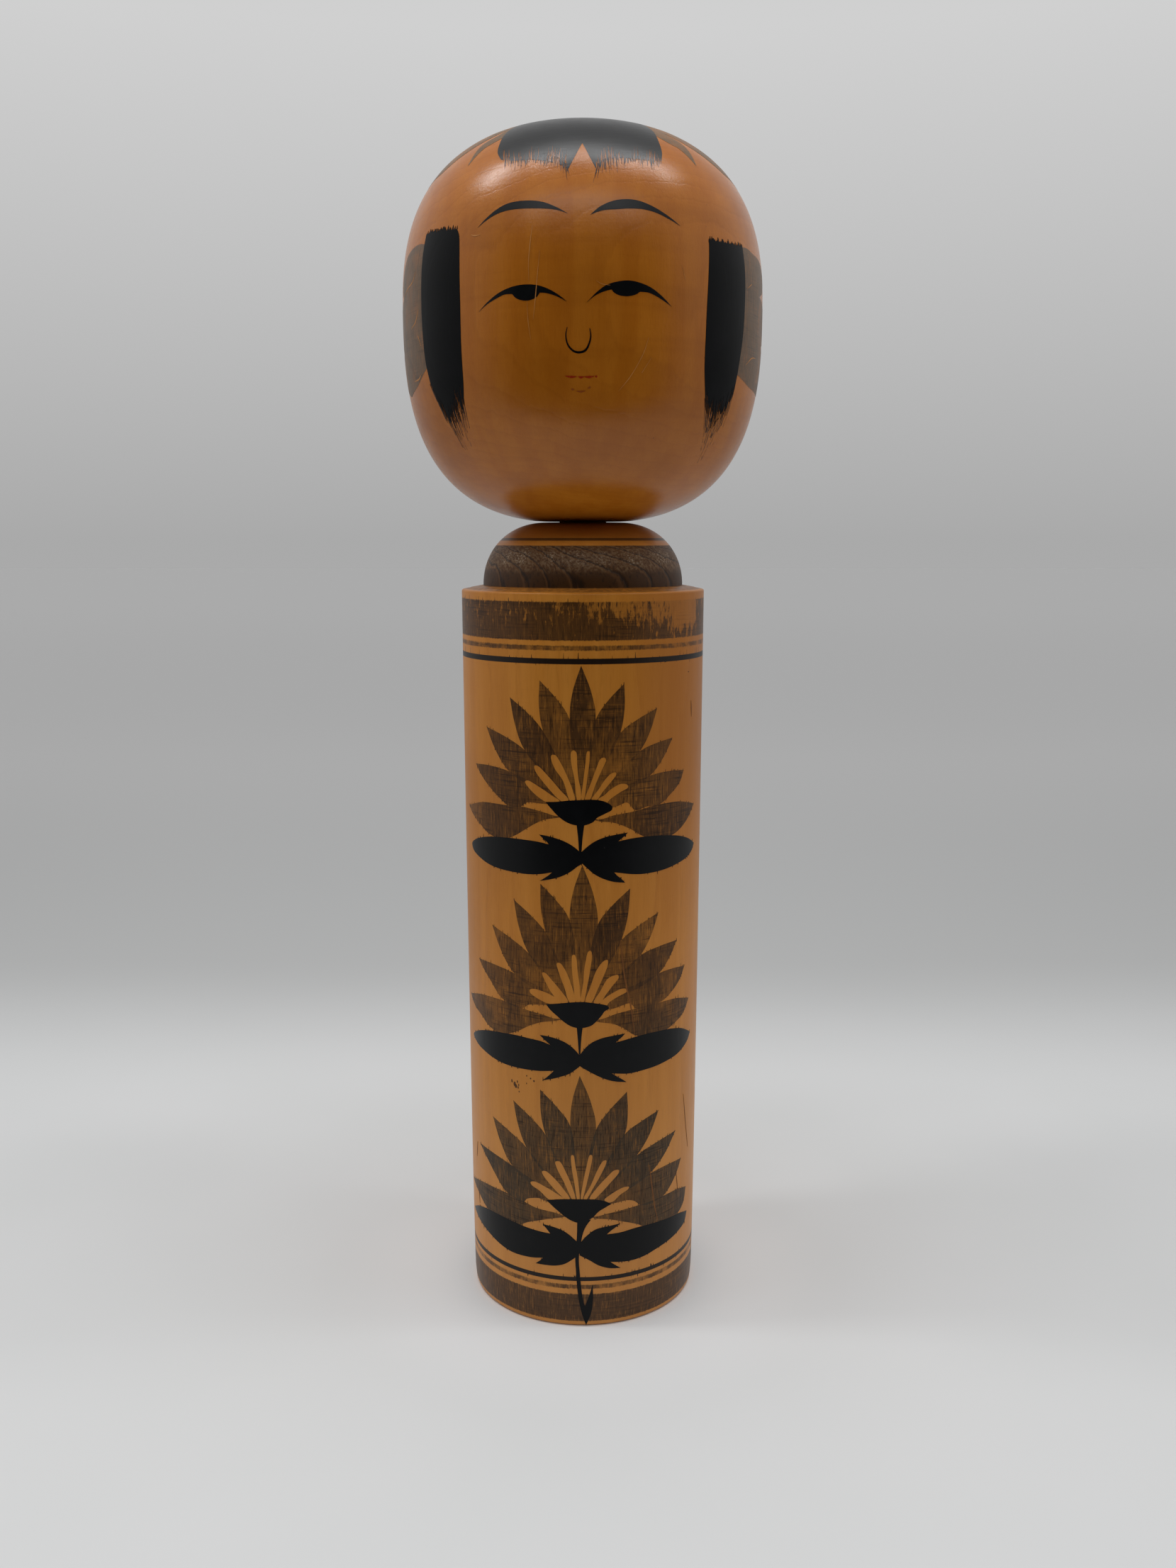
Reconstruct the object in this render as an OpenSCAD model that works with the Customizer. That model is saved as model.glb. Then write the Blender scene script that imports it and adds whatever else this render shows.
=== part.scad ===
// Turned wooden kokeshi doll in the Naruko manner.
// Two turnings of one wood: a head with its neck tenon, and a cylindrical
// body with a domed shoulder. The tenon's bulb is caught under the lip of the
// socket, so the head turns on the body and does not pull off.

/* [Whole doll] */
// Height of the crown of the head above the table
total_h = 453; // [440:0.5:470]

/* [Body] */
// Radius of the body at the base
base_r = 45; // [43:0.5:46.5]
// Radius of the body at the sharp rim below the shoulder
rim_r = 47; // [47:0.5:50]
// Height of the rim above the table
rim_h = 285.8; // [270:0.2:290]
// Rounding of the edge around the base
base_round = 1.6; // [0.5:0.1:3]
// Rounding of the rim
rim_round = 0.7; // [0.3:0.1:1.5]
// Share of the taper that is reached low on the body: smaller is fuller
body_fullness = 0.45; // [0.3:0.05:1]

/* [Shoulder] */
// Radius at the foot of the shoulder dome, where it meets the ledge
shoulder_r = 38.6; // [36:0.2:42]
// How much the ledge climbs from the rim to the foot of the dome
ledge_rise = 1.4; // [0.4:0.2:2.4]
// Height of the dome above its foot
dome_h = 23.8; // [16:0.2:28]
// Radius of the flat seat on top of the dome
seat_r = 14.5; // [13:0.5:18]

/* [Head] */
// Largest radius of the head
head_r = 67.3; // [60:0.5:72]
// Height of the widest ring above the flat underside of the head
head_low_h = 76.2; // [65:0.2:80]
// Squareness of the crown's curve: 2 is an ellipse
crown_n = 2.55; // [2:0.05:3]
// Squareness of the jaw's curve: 2 is an ellipse
jaw_n = 2.75; // [2.4:0.05:3]
// Open joint between the shoulder's seat and the underside of the head
head_gap = 0.4; // [0.4:0.1:1.2]

/* [Neck fit] */
// Radius of the neck tenon where it runs in the lip of the socket
neck_r = 9; // [8:0.1:10]
// Radial play between the neck and the lip
neck_play = 0.05; // [0.03:0.01:0.1]
// Thickness of the lip, measured down from the seat
lip_h = 8; // [6:0.5:10]
// Radius of the bulb that is caught under the lip
bulb_r = 10.4; // [10.4:0.1:11]
// Length of the bulb, its lead taper included
bulb_h = 14; // [12:0.5:18]
// Free space around and above the bulb
bulb_play = 0.3; // [0.2:0.05:0.5]

/* [Hidden] */
$fn = 96;
rim_steps = 14;
curve_steps = 22;
foot_h = rim_h + ledge_rise;
seat_h = foot_h + dome_h;
under_h = seat_h + head_gap;
wide_h = under_h + head_low_h;
lip_bottom_h = seat_h - lip_h;
bulb_top_h = lip_bottom_h - bulb_play;
bulb_bottom_h = bulb_top_h - bulb_h;
socket_bottom_h = bulb_bottom_h - 3;
oak_gold = [0.72, 0.42, 0.18];

// Body radius at a height: a faint taper that is used up near the base
function body_r(z) = base_r + (rim_r - base_r) * pow(z / rim_h, body_fullness);

// Points of a quarter curve from the axis side to the wide side.
// a is 90 at the flat end and 0 at the wide end.
function quarter(r, h, n, a) = [r * pow(cos(a), 2 / n), h * pow(sin(a), 2 / n)];

// Round of an outside corner at (cx, cz), from angle a0 to a1
function corner(cx, cz, r, a0, a1, steps = 6) =
    [for (i = [0 : steps]) let (a = a0 + (a1 - a0) * i / steps) [cx + r * cos(a), cz + r * sin(a)]];

// Half section of the body's outside, from the middle of the base to the seat
function body_section() = concat(
    [[0, 0]],
    corner(base_r - base_round, base_round, base_round, -90, 0),
    [for (i = [1 : rim_steps]) let (z = base_round + (rim_h - rim_round - base_round) * pow(i / rim_steps, 1.6))
        [i == rim_steps ? rim_r : min(rim_r, body_r(z)), z]],
    corner(rim_r - rim_round, rim_h - rim_round, rim_round, 12, 84, 4),
    [[shoulder_r, foot_h]],
    [for (i = [1 : curve_steps]) let (p = quarter(shoulder_r - seat_r, dome_h, 2.1, 90 * i / curve_steps))
        [seat_r + p[0], foot_h + p[1]]],
    [[0, seat_h]]
);

// Half section of the socket: a lip that the neck runs in, and a wider chamber
module socket_section() {
    polygon([
        [0, socket_bottom_h],
        [bulb_r + bulb_play - 2.2, socket_bottom_h],
        [bulb_r + bulb_play, socket_bottom_h + 3.2],
        [bulb_r + bulb_play, lip_bottom_h],
        [neck_r + neck_play, lip_bottom_h],
        [neck_r + neck_play, seat_h - 0.8],
        [neck_r + neck_play + 0.8, seat_h],
        [neck_r + neck_play + 0.8, seat_h + 5],
        [0, seat_h + 5]
    ]);
}

// Half section of the head, from its crown down to the flat underside
function head_section() = concat(
    [[0, total_h]],
    [for (i = [1 : curve_steps]) let (p = quarter(head_r, total_h - wide_h, crown_n, 90 - 90 * i / curve_steps))
        [p[0], wide_h + p[1]]],
    [for (i = [1 : curve_steps - 1]) let (p = quarter(head_r, head_low_h + 0.6, jaw_n, 90 * i / curve_steps))
        if (wide_h - p[1] > under_h) [p[0], wide_h - p[1]]],
    [[seat_r + 1.5, under_h], [0, under_h]]
);

// Neck tenon: a plain neck, then the bulb with a taper that leads it in
module tenon_section() {
    polygon([
        [0, under_h + 6],
        [neck_r, under_h + 6],
        [neck_r, bulb_top_h],
        [bulb_r, bulb_top_h],
        [bulb_r, bulb_top_h - bulb_h + 7],
        [bulb_r - 2.4, bulb_bottom_h + 0.8],
        [bulb_r - 3.2, bulb_bottom_h],
        [0, bulb_bottom_h]
    ]);
}

module body() {
    color(oak_gold)
    difference() {
        rotate_extrude($fn = 96) polygon(body_section());
        rotate_extrude($fn = 96) socket_section();
    }
}

module head() {
    color([0.76, 0.45, 0.19])
    union() {
        rotate_extrude($fn = 96) polygon(head_section());
        rotate_extrude($fn = 96) tenon_section();
    }
}

body();
head();
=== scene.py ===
"""Looks of a turned and painted Naruko-type kokeshi doll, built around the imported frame."""
import bpy
import math
import random
import numpy as np
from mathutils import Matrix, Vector
from mathutils.geometry import delaunay_2d_cdt


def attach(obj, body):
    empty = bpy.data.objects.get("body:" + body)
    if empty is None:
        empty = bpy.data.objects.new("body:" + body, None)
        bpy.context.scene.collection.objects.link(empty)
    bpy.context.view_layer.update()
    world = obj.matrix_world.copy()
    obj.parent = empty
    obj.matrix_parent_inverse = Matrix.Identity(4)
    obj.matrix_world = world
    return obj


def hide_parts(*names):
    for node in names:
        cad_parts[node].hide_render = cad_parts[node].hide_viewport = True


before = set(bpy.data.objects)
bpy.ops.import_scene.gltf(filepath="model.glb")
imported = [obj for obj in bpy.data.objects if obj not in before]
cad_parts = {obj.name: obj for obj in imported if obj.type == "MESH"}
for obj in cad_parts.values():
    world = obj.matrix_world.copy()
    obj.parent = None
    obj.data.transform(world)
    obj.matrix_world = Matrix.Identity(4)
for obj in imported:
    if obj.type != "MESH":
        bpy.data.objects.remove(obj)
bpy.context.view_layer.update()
MM = 0.001

# ---------------------------------------------------------------- the turned profiles, in mm
TOTAL_H, BASE_R, RIM_R, RIM_H = 453.0, 45.0, 47.0, 285.8
FOOT_R, FOOT_H, DOME_H, SEAT_R = 38.6, 287.2, 23.8, 14.5
HEAD_R, WIDE_H, UNDER_H = 67.3, 387.6, 311.4
CROWN_N, JAW_N, JAW_H = 2.55, 2.75, 76.8


def body_r(z):
    return BASE_R + (RIM_R - BASE_R) * (max(z, 0.0) / RIM_H) ** 0.45


def head_r(z):
    if z >= WIDE_H:
        t = min(1.0, (z - WIDE_H) / (TOTAL_H - WIDE_H))
        return HEAD_R * max(0.0, 1 - t ** CROWN_N) ** (1 / CROWN_N)
    t = min(1.0, (WIDE_H - z) / JAW_H)
    return HEAD_R * max(0.0, 1 - t ** JAW_N) ** (1 / JAW_N)


def dome_r(z):
    t = min(1.0, max(0.0, (z - FOOT_H) / DOME_H))
    return SEAT_R + (FOOT_R - SEAT_R) * max(0.0, 1 - t ** 2.1) ** (1 / 2.1)


def crown_table():
    """Arc length from the crown, against r and z, down to the chin."""
    rows = []
    s, last = 0.0, (0.0, TOTAL_H)
    for i in range(0, 1201):
        a = i / 1200 * math.pi / 2
        r, z = HEAD_R * math.sin(a) ** (2 / CROWN_N), WIDE_H + (TOTAL_H - WIDE_H) * math.cos(a) ** (2 / CROWN_N)
        s += math.hypot(r - last[0], z - last[1])
        last = (r, z)
        rows.append((s, r, z))
    for i in range(1, 1201):
        a = i / 1200 * math.pi / 2
        r, z = HEAD_R * math.cos(a) ** (2 / JAW_N), WIDE_H - JAW_H * math.sin(a) ** (2 / JAW_N)
        s += math.hypot(r - last[0], z - last[1])
        last = (r, z)
        rows.append((s, r, z))
    return np.array(rows)


CROWN = crown_table()


def at_arc(s):
    return float(np.interp(s, CROWN[:, 0], CROWN[:, 1])), float(np.interp(s, CROWN[:, 0], CROWN[:, 2]))


def arc_of(z):
    return float(np.interp(-z, -CROWN[:, 2], CROWN[:, 0]))


def on_surface(r, z, slope, theta, lift):
    """Point and outward normal of a turned surface; slope is the outward normal's (radial, up) pair."""
    n = math.hypot(*slope)
    nr, nz = slope[0] / n, slope[1] / n
    r, z = r + nr * lift, z + nz * lift
    c, s = math.cos(theta), math.sin(theta)
    return Vector((r * s, -r * c, z)) * MM, Vector((nr * s, -nr * c, nz))


def map_body(x, y, lift):
    """x is the angle in degrees, to the right of the front; y is the height."""
    d = 0.4
    dr = (body_r(y + d) - body_r(y - d)) / (2 * d)
    return on_surface(body_r(y), y, (1, -dr), math.radians(x), lift)


def map_head(x, y, lift):
    d = 0.2
    dr = (head_r(y + d) - head_r(y - d)) / (2 * d)
    return on_surface(head_r(y), y, (1, -dr), math.radians(x), lift)


def map_crown(x, y, lift):
    """x and y are laid out flat around the crown, at their true distance along the surface."""
    s, t = math.hypot(x, y), math.atan2(x, -y)
    r0, z0 = at_arc(max(0.0, s - 0.5))
    r1, z1 = at_arc(s + 0.5)
    r, z = at_arc(s)
    return on_surface(r, z, (z0 - z1, r1 - r0), t, lift)


# ---------------------------------------------------------------- the painter's drawing
# Angles in degrees to the right of the front, heights in mm; a third value marks a sharp corner.
FLOWERS = [
    dict(
        tips=[(-70.7, 202.9), (-60.5, 220.5), (-50.2, 235.5), (-34.7, 247.5), (-19.4, 254.3), (-0.6, 259.9), (18.9, 253.2), (35.9, 243.5), (45.7, 231.7), (54.8, 218.6), (66.2, 204.2)],
        notch=[(-36.4, 206.9), (-35.5, 219.8), (-27, 228.3), (-17.8, 235.6), (-5.7, 240.2), (5.9, 240.2), (16.9, 234.8), (26.5, 227.7), (32, 218.4), (35.6, 207)],
        base=(-0.8, 207),
        low_l=[(-65, 200.2), (-56.1, 197), (-49.9, 194.7), (-40.2, 193.7), (-33.3, 195.6), (-27.1, 198.6), (-22.1, 201.1), (-17.3, 202.9), (-10.4, 204)],
        low_l_top=[(-27.8, 207), (-18.9, 205.8), (-10.4, 204.4)],
        low_r=[(59.9, 199.7), (52.4, 196.2), (46.2, 194.5), (35.8, 193.8), (27.6, 196.4), (21.8, 199.3), (14, 201.9), (5.8, 203)],
        low_r_top=[(24.2, 205.6), (14.4, 204.6), (6.5, 203.3)],
        p5_low=[(-56.1, 217.2), (-49.9, 213.5), (-42, 209.4), (-36.4, 206.9), (-29.6, 207), (-27.7, 208), (-25.9, 208.9), (-16.1, 208.8)],
        p10_low=[(51.9, 214.5), (44.7, 210.3), (38.5, 207.4), (30.1, 206.9), (24.6, 206), (21.7, 208.5), (20.3, 209.2), (13.6, 207.6)],
        stamens=[
            [(-27.1, 216.6), (-25.8, 217.2), (-18.8, 214.5), (-14.2, 212.2), (-10.4, 210.1), (-14.2, 208.9), (-17.3, 209.7), (-21.2, 211.6), (-25.2, 214.4)],
            [(-22.3, 222.8), (-20.7, 222.9), (-14.9, 218.6), (-10.4, 214.5), (-6.3, 210.6), (-7.4, 209.7), (-9.7, 210.1), (-17.2, 216.1), (-21.9, 221)],
            [(-14.1, 227), (-12.4, 227.2), (-9.5, 223.8), (-6.9, 219.4), (-4.3, 214), (-3.4, 210.6), (-4.6, 209.7), (-5.8, 210.4), (-8.9, 217.8), (-12.6, 222.1), (-14.3, 225.8)],
            [(-5, 228.5), (-3.9, 229), (-2.8, 228.3), (-2.4, 224.2), (-1.7, 218.2), (-0.8, 214.6), (-0.7, 210.8), (-1.7, 209.8), (-2.5, 210.8), (-3.6, 218.2), (-5, 224.2)],
            [(2.1, 228.6), (3.1, 228.7), (3.3, 227.2), (3, 223.6), (2.1, 218.2), (0.7, 210.8), (0.1, 209.8), (-0.5, 210.8), (0.3, 217.6), (1.3, 224.2)],
            [(8.3, 226), (10, 226.2), (10.6, 225.3), (8.7, 221.6), (5.9, 216.4), (3.4, 210.8), (2.1, 209.7), (1.1, 210.8), (3.5, 216.4), (5.9, 221.8)],
            [(13, 220.3), (15.1, 220.6), (15.4, 219.9), (12.6, 216.8), (9.4, 213.8), (6.5, 210.5), (5, 209.7), (4, 210.7), (7.2, 214.5), (9.9, 217.8)],
            [(17.7, 216.3), (20.6, 215.8), (21.1, 214.9), (17, 213), (12.4, 210.6), (10.9, 209.3), (8, 209.7), (7, 210.8), (9.8, 212.3), (12.8, 214.4)],
        ],
        calyx=[(-16.9, 209.5, 1), (-11.2, 209.8), (-6.7, 210.3), (-0.8, 210.6), (4.3, 210.7), (8.3, 210.3), (11.7, 209.2), (13.4, 208), (13.4, 206.8), (9.8, 205.2), (6.5, 203.9), (5, 202.5), (2.8, 201.6), (0.6, 201.1), (-2.5, 201.1), (-5.6, 201.7), (-8.4, 202.8), (-11, 204.4), (-13.6, 206.5)],
        stem=[(-2.7, 201.5, 1), (-2, 196.3), (-1.6, 190.8, 1), (-0.5, 190.8, 1), (0, 196.3), (0.8, 201.5, 1)],
        leaf_l=[(-1.2, 191.1, 1), (-3.8, 192.9), (-7.5, 194.7), (-11.2, 195.8), (-15.8, 196.7), (-20.1, 197.1, 1), (-18.3, 195.8), (-16.6, 194.7), (-15.5, 193.6, 1), (-20.6, 194.3), (-27.1, 194.6), (-37.2, 194.5), (-46.8, 193.8), (-55.5, 192.4), (-63, 190.4), (-66.9, 188.3), (-65.4, 186.3), (-57.4, 184.1), (-49, 182.6), (-40.5, 181.9), (-32.7, 181.7), (-26.5, 181.6), (-19.9, 182.1), (-14, 183.1, 1), (-15.8, 181.8), (-17.7, 180.7), (-19.9, 179.5, 1), (-14.4, 180.5), (-9.8, 181.7), (-5.3, 183.7), (-2.3, 185.6), (-0.4, 186.5, 1)],
        leaf_r=[(-0.5, 191.1, 1), (2.5, 193.3), (5.8, 195.1), (10.2, 196.5), (15.5, 197.3), (21, 197.8, 1), (19.3, 196.5), (17.9, 195.7), (16.3, 194.7, 1), (22.7, 195.4), (30.3, 195.6), (39.7, 195.1), (51.2, 193.6), (60.3, 191.3), (67.4, 188.4, 1), (64.8, 186.1), (58.9, 184.1), (51.5, 183), (43.1, 182), (35, 181.5), (27.8, 181.5), (22, 182), (18, 182.6), (14.5, 183.1, 1), (16, 181.7), (18, 180.4), (19.8, 178.8, 1), (14.1, 179.5), (9.5, 180.8), (5.1, 182.8), (2.1, 185), (0.1, 186.5, 1)],
    ),
    dict(
        tips=[(-74.7, 125.7), (-60.7, 143.3), (-48.2, 159.1), (-33.8, 171), (-19.7, 178.4), (-0.1, 186.2), (22.3, 176.4), (38, 165.6), (51, 152.6), (58.3, 140.8), (63.7, 126.5)],
        notch=[(-39, 130), (-33.8, 142), (-25.8, 150.8), (-16.9, 159.2), (-6, 165), (7, 163.3), (17.8, 156.3), (27.6, 149.7), (38.5, 141.3), (37.4, 129.6)],
        base=(-1.7, 129.3),
        low_l=[(-67.8, 122.7), (-58.6, 120.3), (-52.5, 117.8), (-42, 116.3), (-37.7, 117.5), (-31.8, 119.6), (-26.4, 122.2), (-19.6, 124.5), (-11.7, 125.8)],
        low_l_top=[(-28.1, 128.6), (-19.6, 127.6), (-11.6, 126.4)],
        low_r=[(58.1, 121.8), (49.5, 119.1), (43.5, 117.7), (31.3, 117.2), (24.2, 119.2), (20, 121.8), (14.4, 124.2), (5.9, 125.7)],
        low_r_top=[(25, 129.1), (16, 128.1), (6.7, 126.3)],
        p5_low=[(-56.1, 140.1), (-49.8, 136.2), (-43.3, 131.5), (-39, 130), (-30.8, 128.7), (-28.2, 129.5), (-26.5, 130.6), (-17.1, 131.5)],
        p10_low=[(54.4, 136.5), (47.8, 132.6), (41, 130), (32.1, 129.4), (25.8, 129.3), (23.8, 130.9), (22.3, 131.7), (12.4, 130.1)],
        stamens=[
            [(-25.7, 136.6), (-23.6, 137.3), (-18.7, 136.7), (-13.9, 135.3), (-9.9, 133.3), (-11.6, 131.9), (-16.7, 132.2), (-22, 133.8), (-25.4, 135.5)],
            [(-19.2, 144.1), (-17.7, 144.1), (-13.9, 141), (-10, 137.4), (-6.8, 133.4), (-7.8, 132.4), (-10.4, 132.9), (-14.7, 136.5), (-18.8, 142.6)],
            [(-12.1, 148.2), (-10.6, 148.4), (-7.7, 145.1), (-5.3, 140.1), (-3.4, 133.5), (-4.3, 132.5), (-6.2, 133.2), (-8.5, 138.7), (-11.5, 145.6)],
            [(-4.8, 151.5), (-3.8, 151.8), (-3, 150.6), (-2.3, 145.3), (-1.3, 138.9), (-1.1, 133.5), (-2.1, 132.5), (-3.2, 133.5), (-4.3, 140.1), (-5.1, 147.7)],
            [(2.7, 153.1), (3.8, 153.3), (4.3, 151.5), (3.4, 145.2), (2.1, 139.5), (0.7, 133.5), (-0, 132.5), (-0.9, 133.5), (0.1, 140.2), (1, 147.8)],
            [(10, 149.3), (11.6, 149.5), (11.8, 147.8), (9.7, 143.1), (7, 138.2), (4.4, 133.4), (2.8, 132.5), (1.2, 133.4), (3.4, 138.9), (6.5, 145.8)],
            [(14.7, 143.3), (16.5, 143.4), (17, 142.3), (13.9, 139.1), (10.5, 135.5), (8.5, 133.1), (6.6, 132.4), (5.1, 133.1), (8.2, 137.5), (11.6, 142.1)],
            [(18.3, 137.8), (20.4, 137.6), (21.1, 136.5), (16.7, 134.8), (12.4, 132.8), (11.2, 131.6), (8.2, 132.1), (8.2, 133), (11.2, 135.1), (14.7, 136.7)],
        ],
        calyx=[(-17.4, 131.8, 1), (-11.6, 132.4), (-5.5, 133.1), (0.6, 133.3), (5.1, 132.8), (9.1, 132.2), (11.8, 131.4), (12.3, 130.5), (10.2, 129.4), (8.9, 127.9), (6.7, 125.9), (4.4, 124.2), (1.3, 123.3), (-2.5, 123.1), (-5.7, 123.8), (-8.7, 125.3), (-11.8, 127.4), (-14.8, 129.4)],
        stem=[(-2.8, 123.5, 1), (-2.2, 117.7), (-1.8, 112.6, 1), (-1.1, 112.6, 1), (-0.7, 118.4), (-0, 123.6, 1)],
        leaf_l=[(-1.9, 112.7, 1), (-4.4, 115), (-7.8, 117), (-11.7, 118.3), (-15.6, 119), (-20.5, 119.3, 1), (-18.5, 117.8), (-16.7, 116.7), (-14.9, 115.6, 1), (-19.7, 116.8), (-26.5, 117.3), (-33.8, 117.5), (-42, 117), (-50.5, 116), (-59.8, 114), (-66.6, 111.8), (-70.3, 109.7), (-64.1, 107.5), (-56.7, 106.4), (-49.5, 105.4), (-42.3, 104.7), (-35, 104.5), (-28.4, 104.6), (-20.7, 104.9), (-13.7, 105.6, 1), (-15.6, 104), (-17.4, 102.6), (-19.4, 101.3, 1), (-14.2, 102.4), (-10.2, 103.5), (-6.3, 104.8), (-3.6, 106.4), (-1.6, 107.7, 1)],
        leaf_r=[(-1.1, 112.7, 1), (1.3, 115.2), (4.4, 117.3), (9, 118.8), (14.4, 119.5), (20.3, 119.9, 1), (18.6, 118.6), (17, 117.7), (15.6, 116.7, 1), (22.6, 117.6), (30.4, 118.3), (39.2, 118.2), (48.2, 117.4), (56.7, 115.6), (66.3, 111.9, 1), (63.9, 109.6), (58.7, 107.5), (52.6, 106), (44.9, 105.1), (37.4, 104.4), (29.7, 104), (22.7, 103.7), (17.7, 104.1), (13.7, 104.6, 1), (16.1, 103.2), (18.8, 101.8), (21.1, 100.4, 1), (15.3, 101.2), (10.6, 102.5), (5.9, 104.4), (2.1, 106.2), (-1, 107.7, 1)],
    ),
    dict(
        tips=[(-79.2, 45.6), (-63.6, 65.6), (-50.1, 80.8), (-35.6, 90.7), (-20.6, 97.4), (-1.4, 104.1), (21.4, 96.4), (39.6, 85.9), (52.4, 74.3), (58.2, 60.9), (64.6, 46.6)],
        notch=[(-39.4, 51), (-36.7, 63.3), (-28, 72.4), (-17.9, 79), (-5.9, 83.5), (6.3, 82.1), (20.4, 79.1), (26.8, 69.4), (34.2, 60.5), (43.3, 49)],
        base=(-2.1, 48.7),
        low_l=[(-67.3, 43.2), (-58.2, 40.2), (-49.8, 38.2), (-36.7, 38), (-28, 41.6), (-21.1, 43.6), (-15.4, 45), (-9.1, 46.2)],
        low_l_top=[(-29.4, 49.7), (-23.9, 48.5), (-13.6, 47.6), (-9.1, 46.8)],
        low_r=[(62.3, 41.1), (55.6, 37.9), (44.3, 37.5), (34.6, 37.8), (27.7, 40.8), (20.3, 43.1), (12.9, 44.9), (4.9, 46)],
        low_r_top=[(30.1, 48.7), (21.2, 48.2), (12, 47.3), (4.9, 46.5)],
        p5_low=[(-56.2, 61.7), (-49.1, 56.9), (-43.1, 52.5), (-39.4, 51), (-30.4, 49.5), (-28.7, 51.1), (-27.6, 51.6), (-21.9, 52.7), (-16.3, 51.6)],
        p10_low=[(54.3, 56.2), (48.7, 51.7), (43.3, 49), (36.7, 48), (29.6, 48.4), (26, 50.8), (22.1, 51.8), (13.3, 51.3)],
        stamens=[
            [(-26.3, 58.6), (-24.2, 59.3), (-17.6, 57.6), (-12.2, 55.4), (-9.1, 53.7), (-10.9, 52.5), (-16.3, 52.7), (-21.4, 55.8), (-25.7, 57.6)],
            [(-20.1, 64), (-18.2, 64.4), (-13.5, 61.6), (-9.1, 57.5), (-6.3, 53.9), (-7.3, 52.7), (-8.9, 53.7), (-14.4, 57.8), (-19.7, 62.8)],
            [(-13.3, 68.7), (-11.2, 69), (-8, 64.6), (-5.4, 59.5), (-3.6, 54), (-4.3, 52.8), (-5.4, 53.9), (-9, 60.4), (-12.6, 66.2)],
            [(-5.5, 71.8), (-4.5, 71.9), (-3.6, 68.1), (-2.4, 62.2), (-1.5, 54), (-2.1, 52.9), (-2.8, 54), (-4, 59.9), (-5.3, 66.6)],
            [(3.4, 72), (4.4, 71.9), (4.5, 70.3), (3.1, 64.4), (1.4, 58.5), (0, 54), (-0.5, 52.9), (-1, 54), (-0.2, 59.2), (1.6, 66.7)],
            [(9.8, 69.3), (11.3, 69.5), (11.3, 68.3), (8.6, 63.5), (5.1, 58.4), (2.1, 54), (1.2, 52.9), (0.4, 54), (3.6, 59.2), (7.1, 65.8)],
            [(15.3, 65), (17.6, 64.9), (17.6, 63.8), (13.5, 60.1), (9.3, 56.5), (5.8, 53.7), (4.5, 52.8), (3.2, 53.8), (7.1, 58.7), (11.5, 62.4)],
            [(20.6, 57.5), (23, 57.2), (22.6, 56.4), (18.3, 54.5), (14.7, 52.1), (12, 52), (10.4, 53.2), (12.8, 54.8), (16.9, 56.6)],
        ],
        calyx=[(-17.9, 52.5, 1), (-10, 53.5), (-1.2, 53.8), (6.7, 53.5), (11.3, 52.4), (13.8, 51.2, 1), (10.9, 50), (7.5, 48.4), (5.1, 46.4), (1.6, 44.7), (-2.1, 44), (-5.6, 44.9), (-9.1, 46.6), (-12.2, 48.6), (-15.4, 50.7)],
        stem=[(-2.7, 44.6, 1), (-2.9, 38.1), (-3.7, 30.5), (-3.4, 23.7), (-2.6, 15.2), (-1.7, 9.8), (-0.3, 5), (1.6, 0.6, 1), (4.1, 5.9), (5, 11.3), (4.8, 18.1, 1), (3.2, 13.5), (1, 8.7, 1), (-0.1, 12.2), (-0.9, 17.6), (-1.5, 22.9), (-1.9, 27.5), (-1.8, 31.3), (-0.9, 35.9), (0.1, 39.7), (1.6, 42.7), (3.9, 45.3, 1)],
        leaf_l=[(-3, 36.2, 1), (-6.5, 38.8), (-10, 40.5), (-14.6, 41.6), (-19.7, 42.1, 1), (-18.1, 40.6), (-17, 39.6), (-16, 38.6, 1), (-21.1, 38.8), (-29.1, 39.3), (-37.9, 40), (-48.2, 40.2), (-58.3, 39.3), (-67.9, 37), (-76.9, 33.5, 1), (-68.4, 31.8), (-60.9, 30.6), (-53.4, 29.3), (-45.9, 27.8), (-38.2, 26.8), (-31.4, 26.8), (-25.2, 27.2), (-19.8, 28, 1), (-21.1, 26.9), (-22.3, 26), (-23.9, 25, 1), (-18.4, 25.1), (-13.8, 25.4), (-9.2, 26.4), (-5.7, 28.2), (-3, 29.9, 1)],
        leaf_r=[(-1.2, 35.7, 1), (1.8, 38.5), (6.2, 41.1), (12, 42), (18.6, 42.6, 1), (15.8, 41.1), (13.8, 40.1), (11.6, 38.7, 1), (18.5, 38.8), (26.2, 39.4), (34.6, 39.3), (44.2, 38.7), (56.5, 37.6), (66.7, 35.3, 1), (64.1, 31.8), (56.9, 30), (48.7, 28.8), (39.5, 27.7), (31.6, 26.5), (24.4, 26.1), (18.6, 26.4), (13.5, 27, 1), (15.2, 25.9), (16.9, 24.9), (18.8, 23.8, 1), (13, 24.4), (7.6, 26), (3.2, 28.3), (-1.6, 30.4, 1)],
    ),
]
BROW_L = [(-32.1, 407.9, 1), (-29.3, 410.7), (-26.2, 413.1), (-22.6, 414.8), (-17.2, 415.3), (-11.9, 414.6), (-7.6, 412.7), (-4.1, 410.5, 1), (-6.9, 411.6), (-10.1, 412.2), (-13.5, 412.5), (-17.9, 412.7), (-22.4, 412.5), (-26, 411.6), (-29.3, 409.9)]
BROW_R = [(2.4, 410, 1), (5.2, 412.7), (9, 414.7), (12.9, 415.5), (16.8, 415.3), (21.2, 413.8), (26.5, 410.8), (30, 408.2, 1), (26.4, 410), (22.3, 411.7), (18.4, 412.5), (14, 412.5), (9.8, 412), (6.4, 411.6), (4.3, 410.9)]
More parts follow.
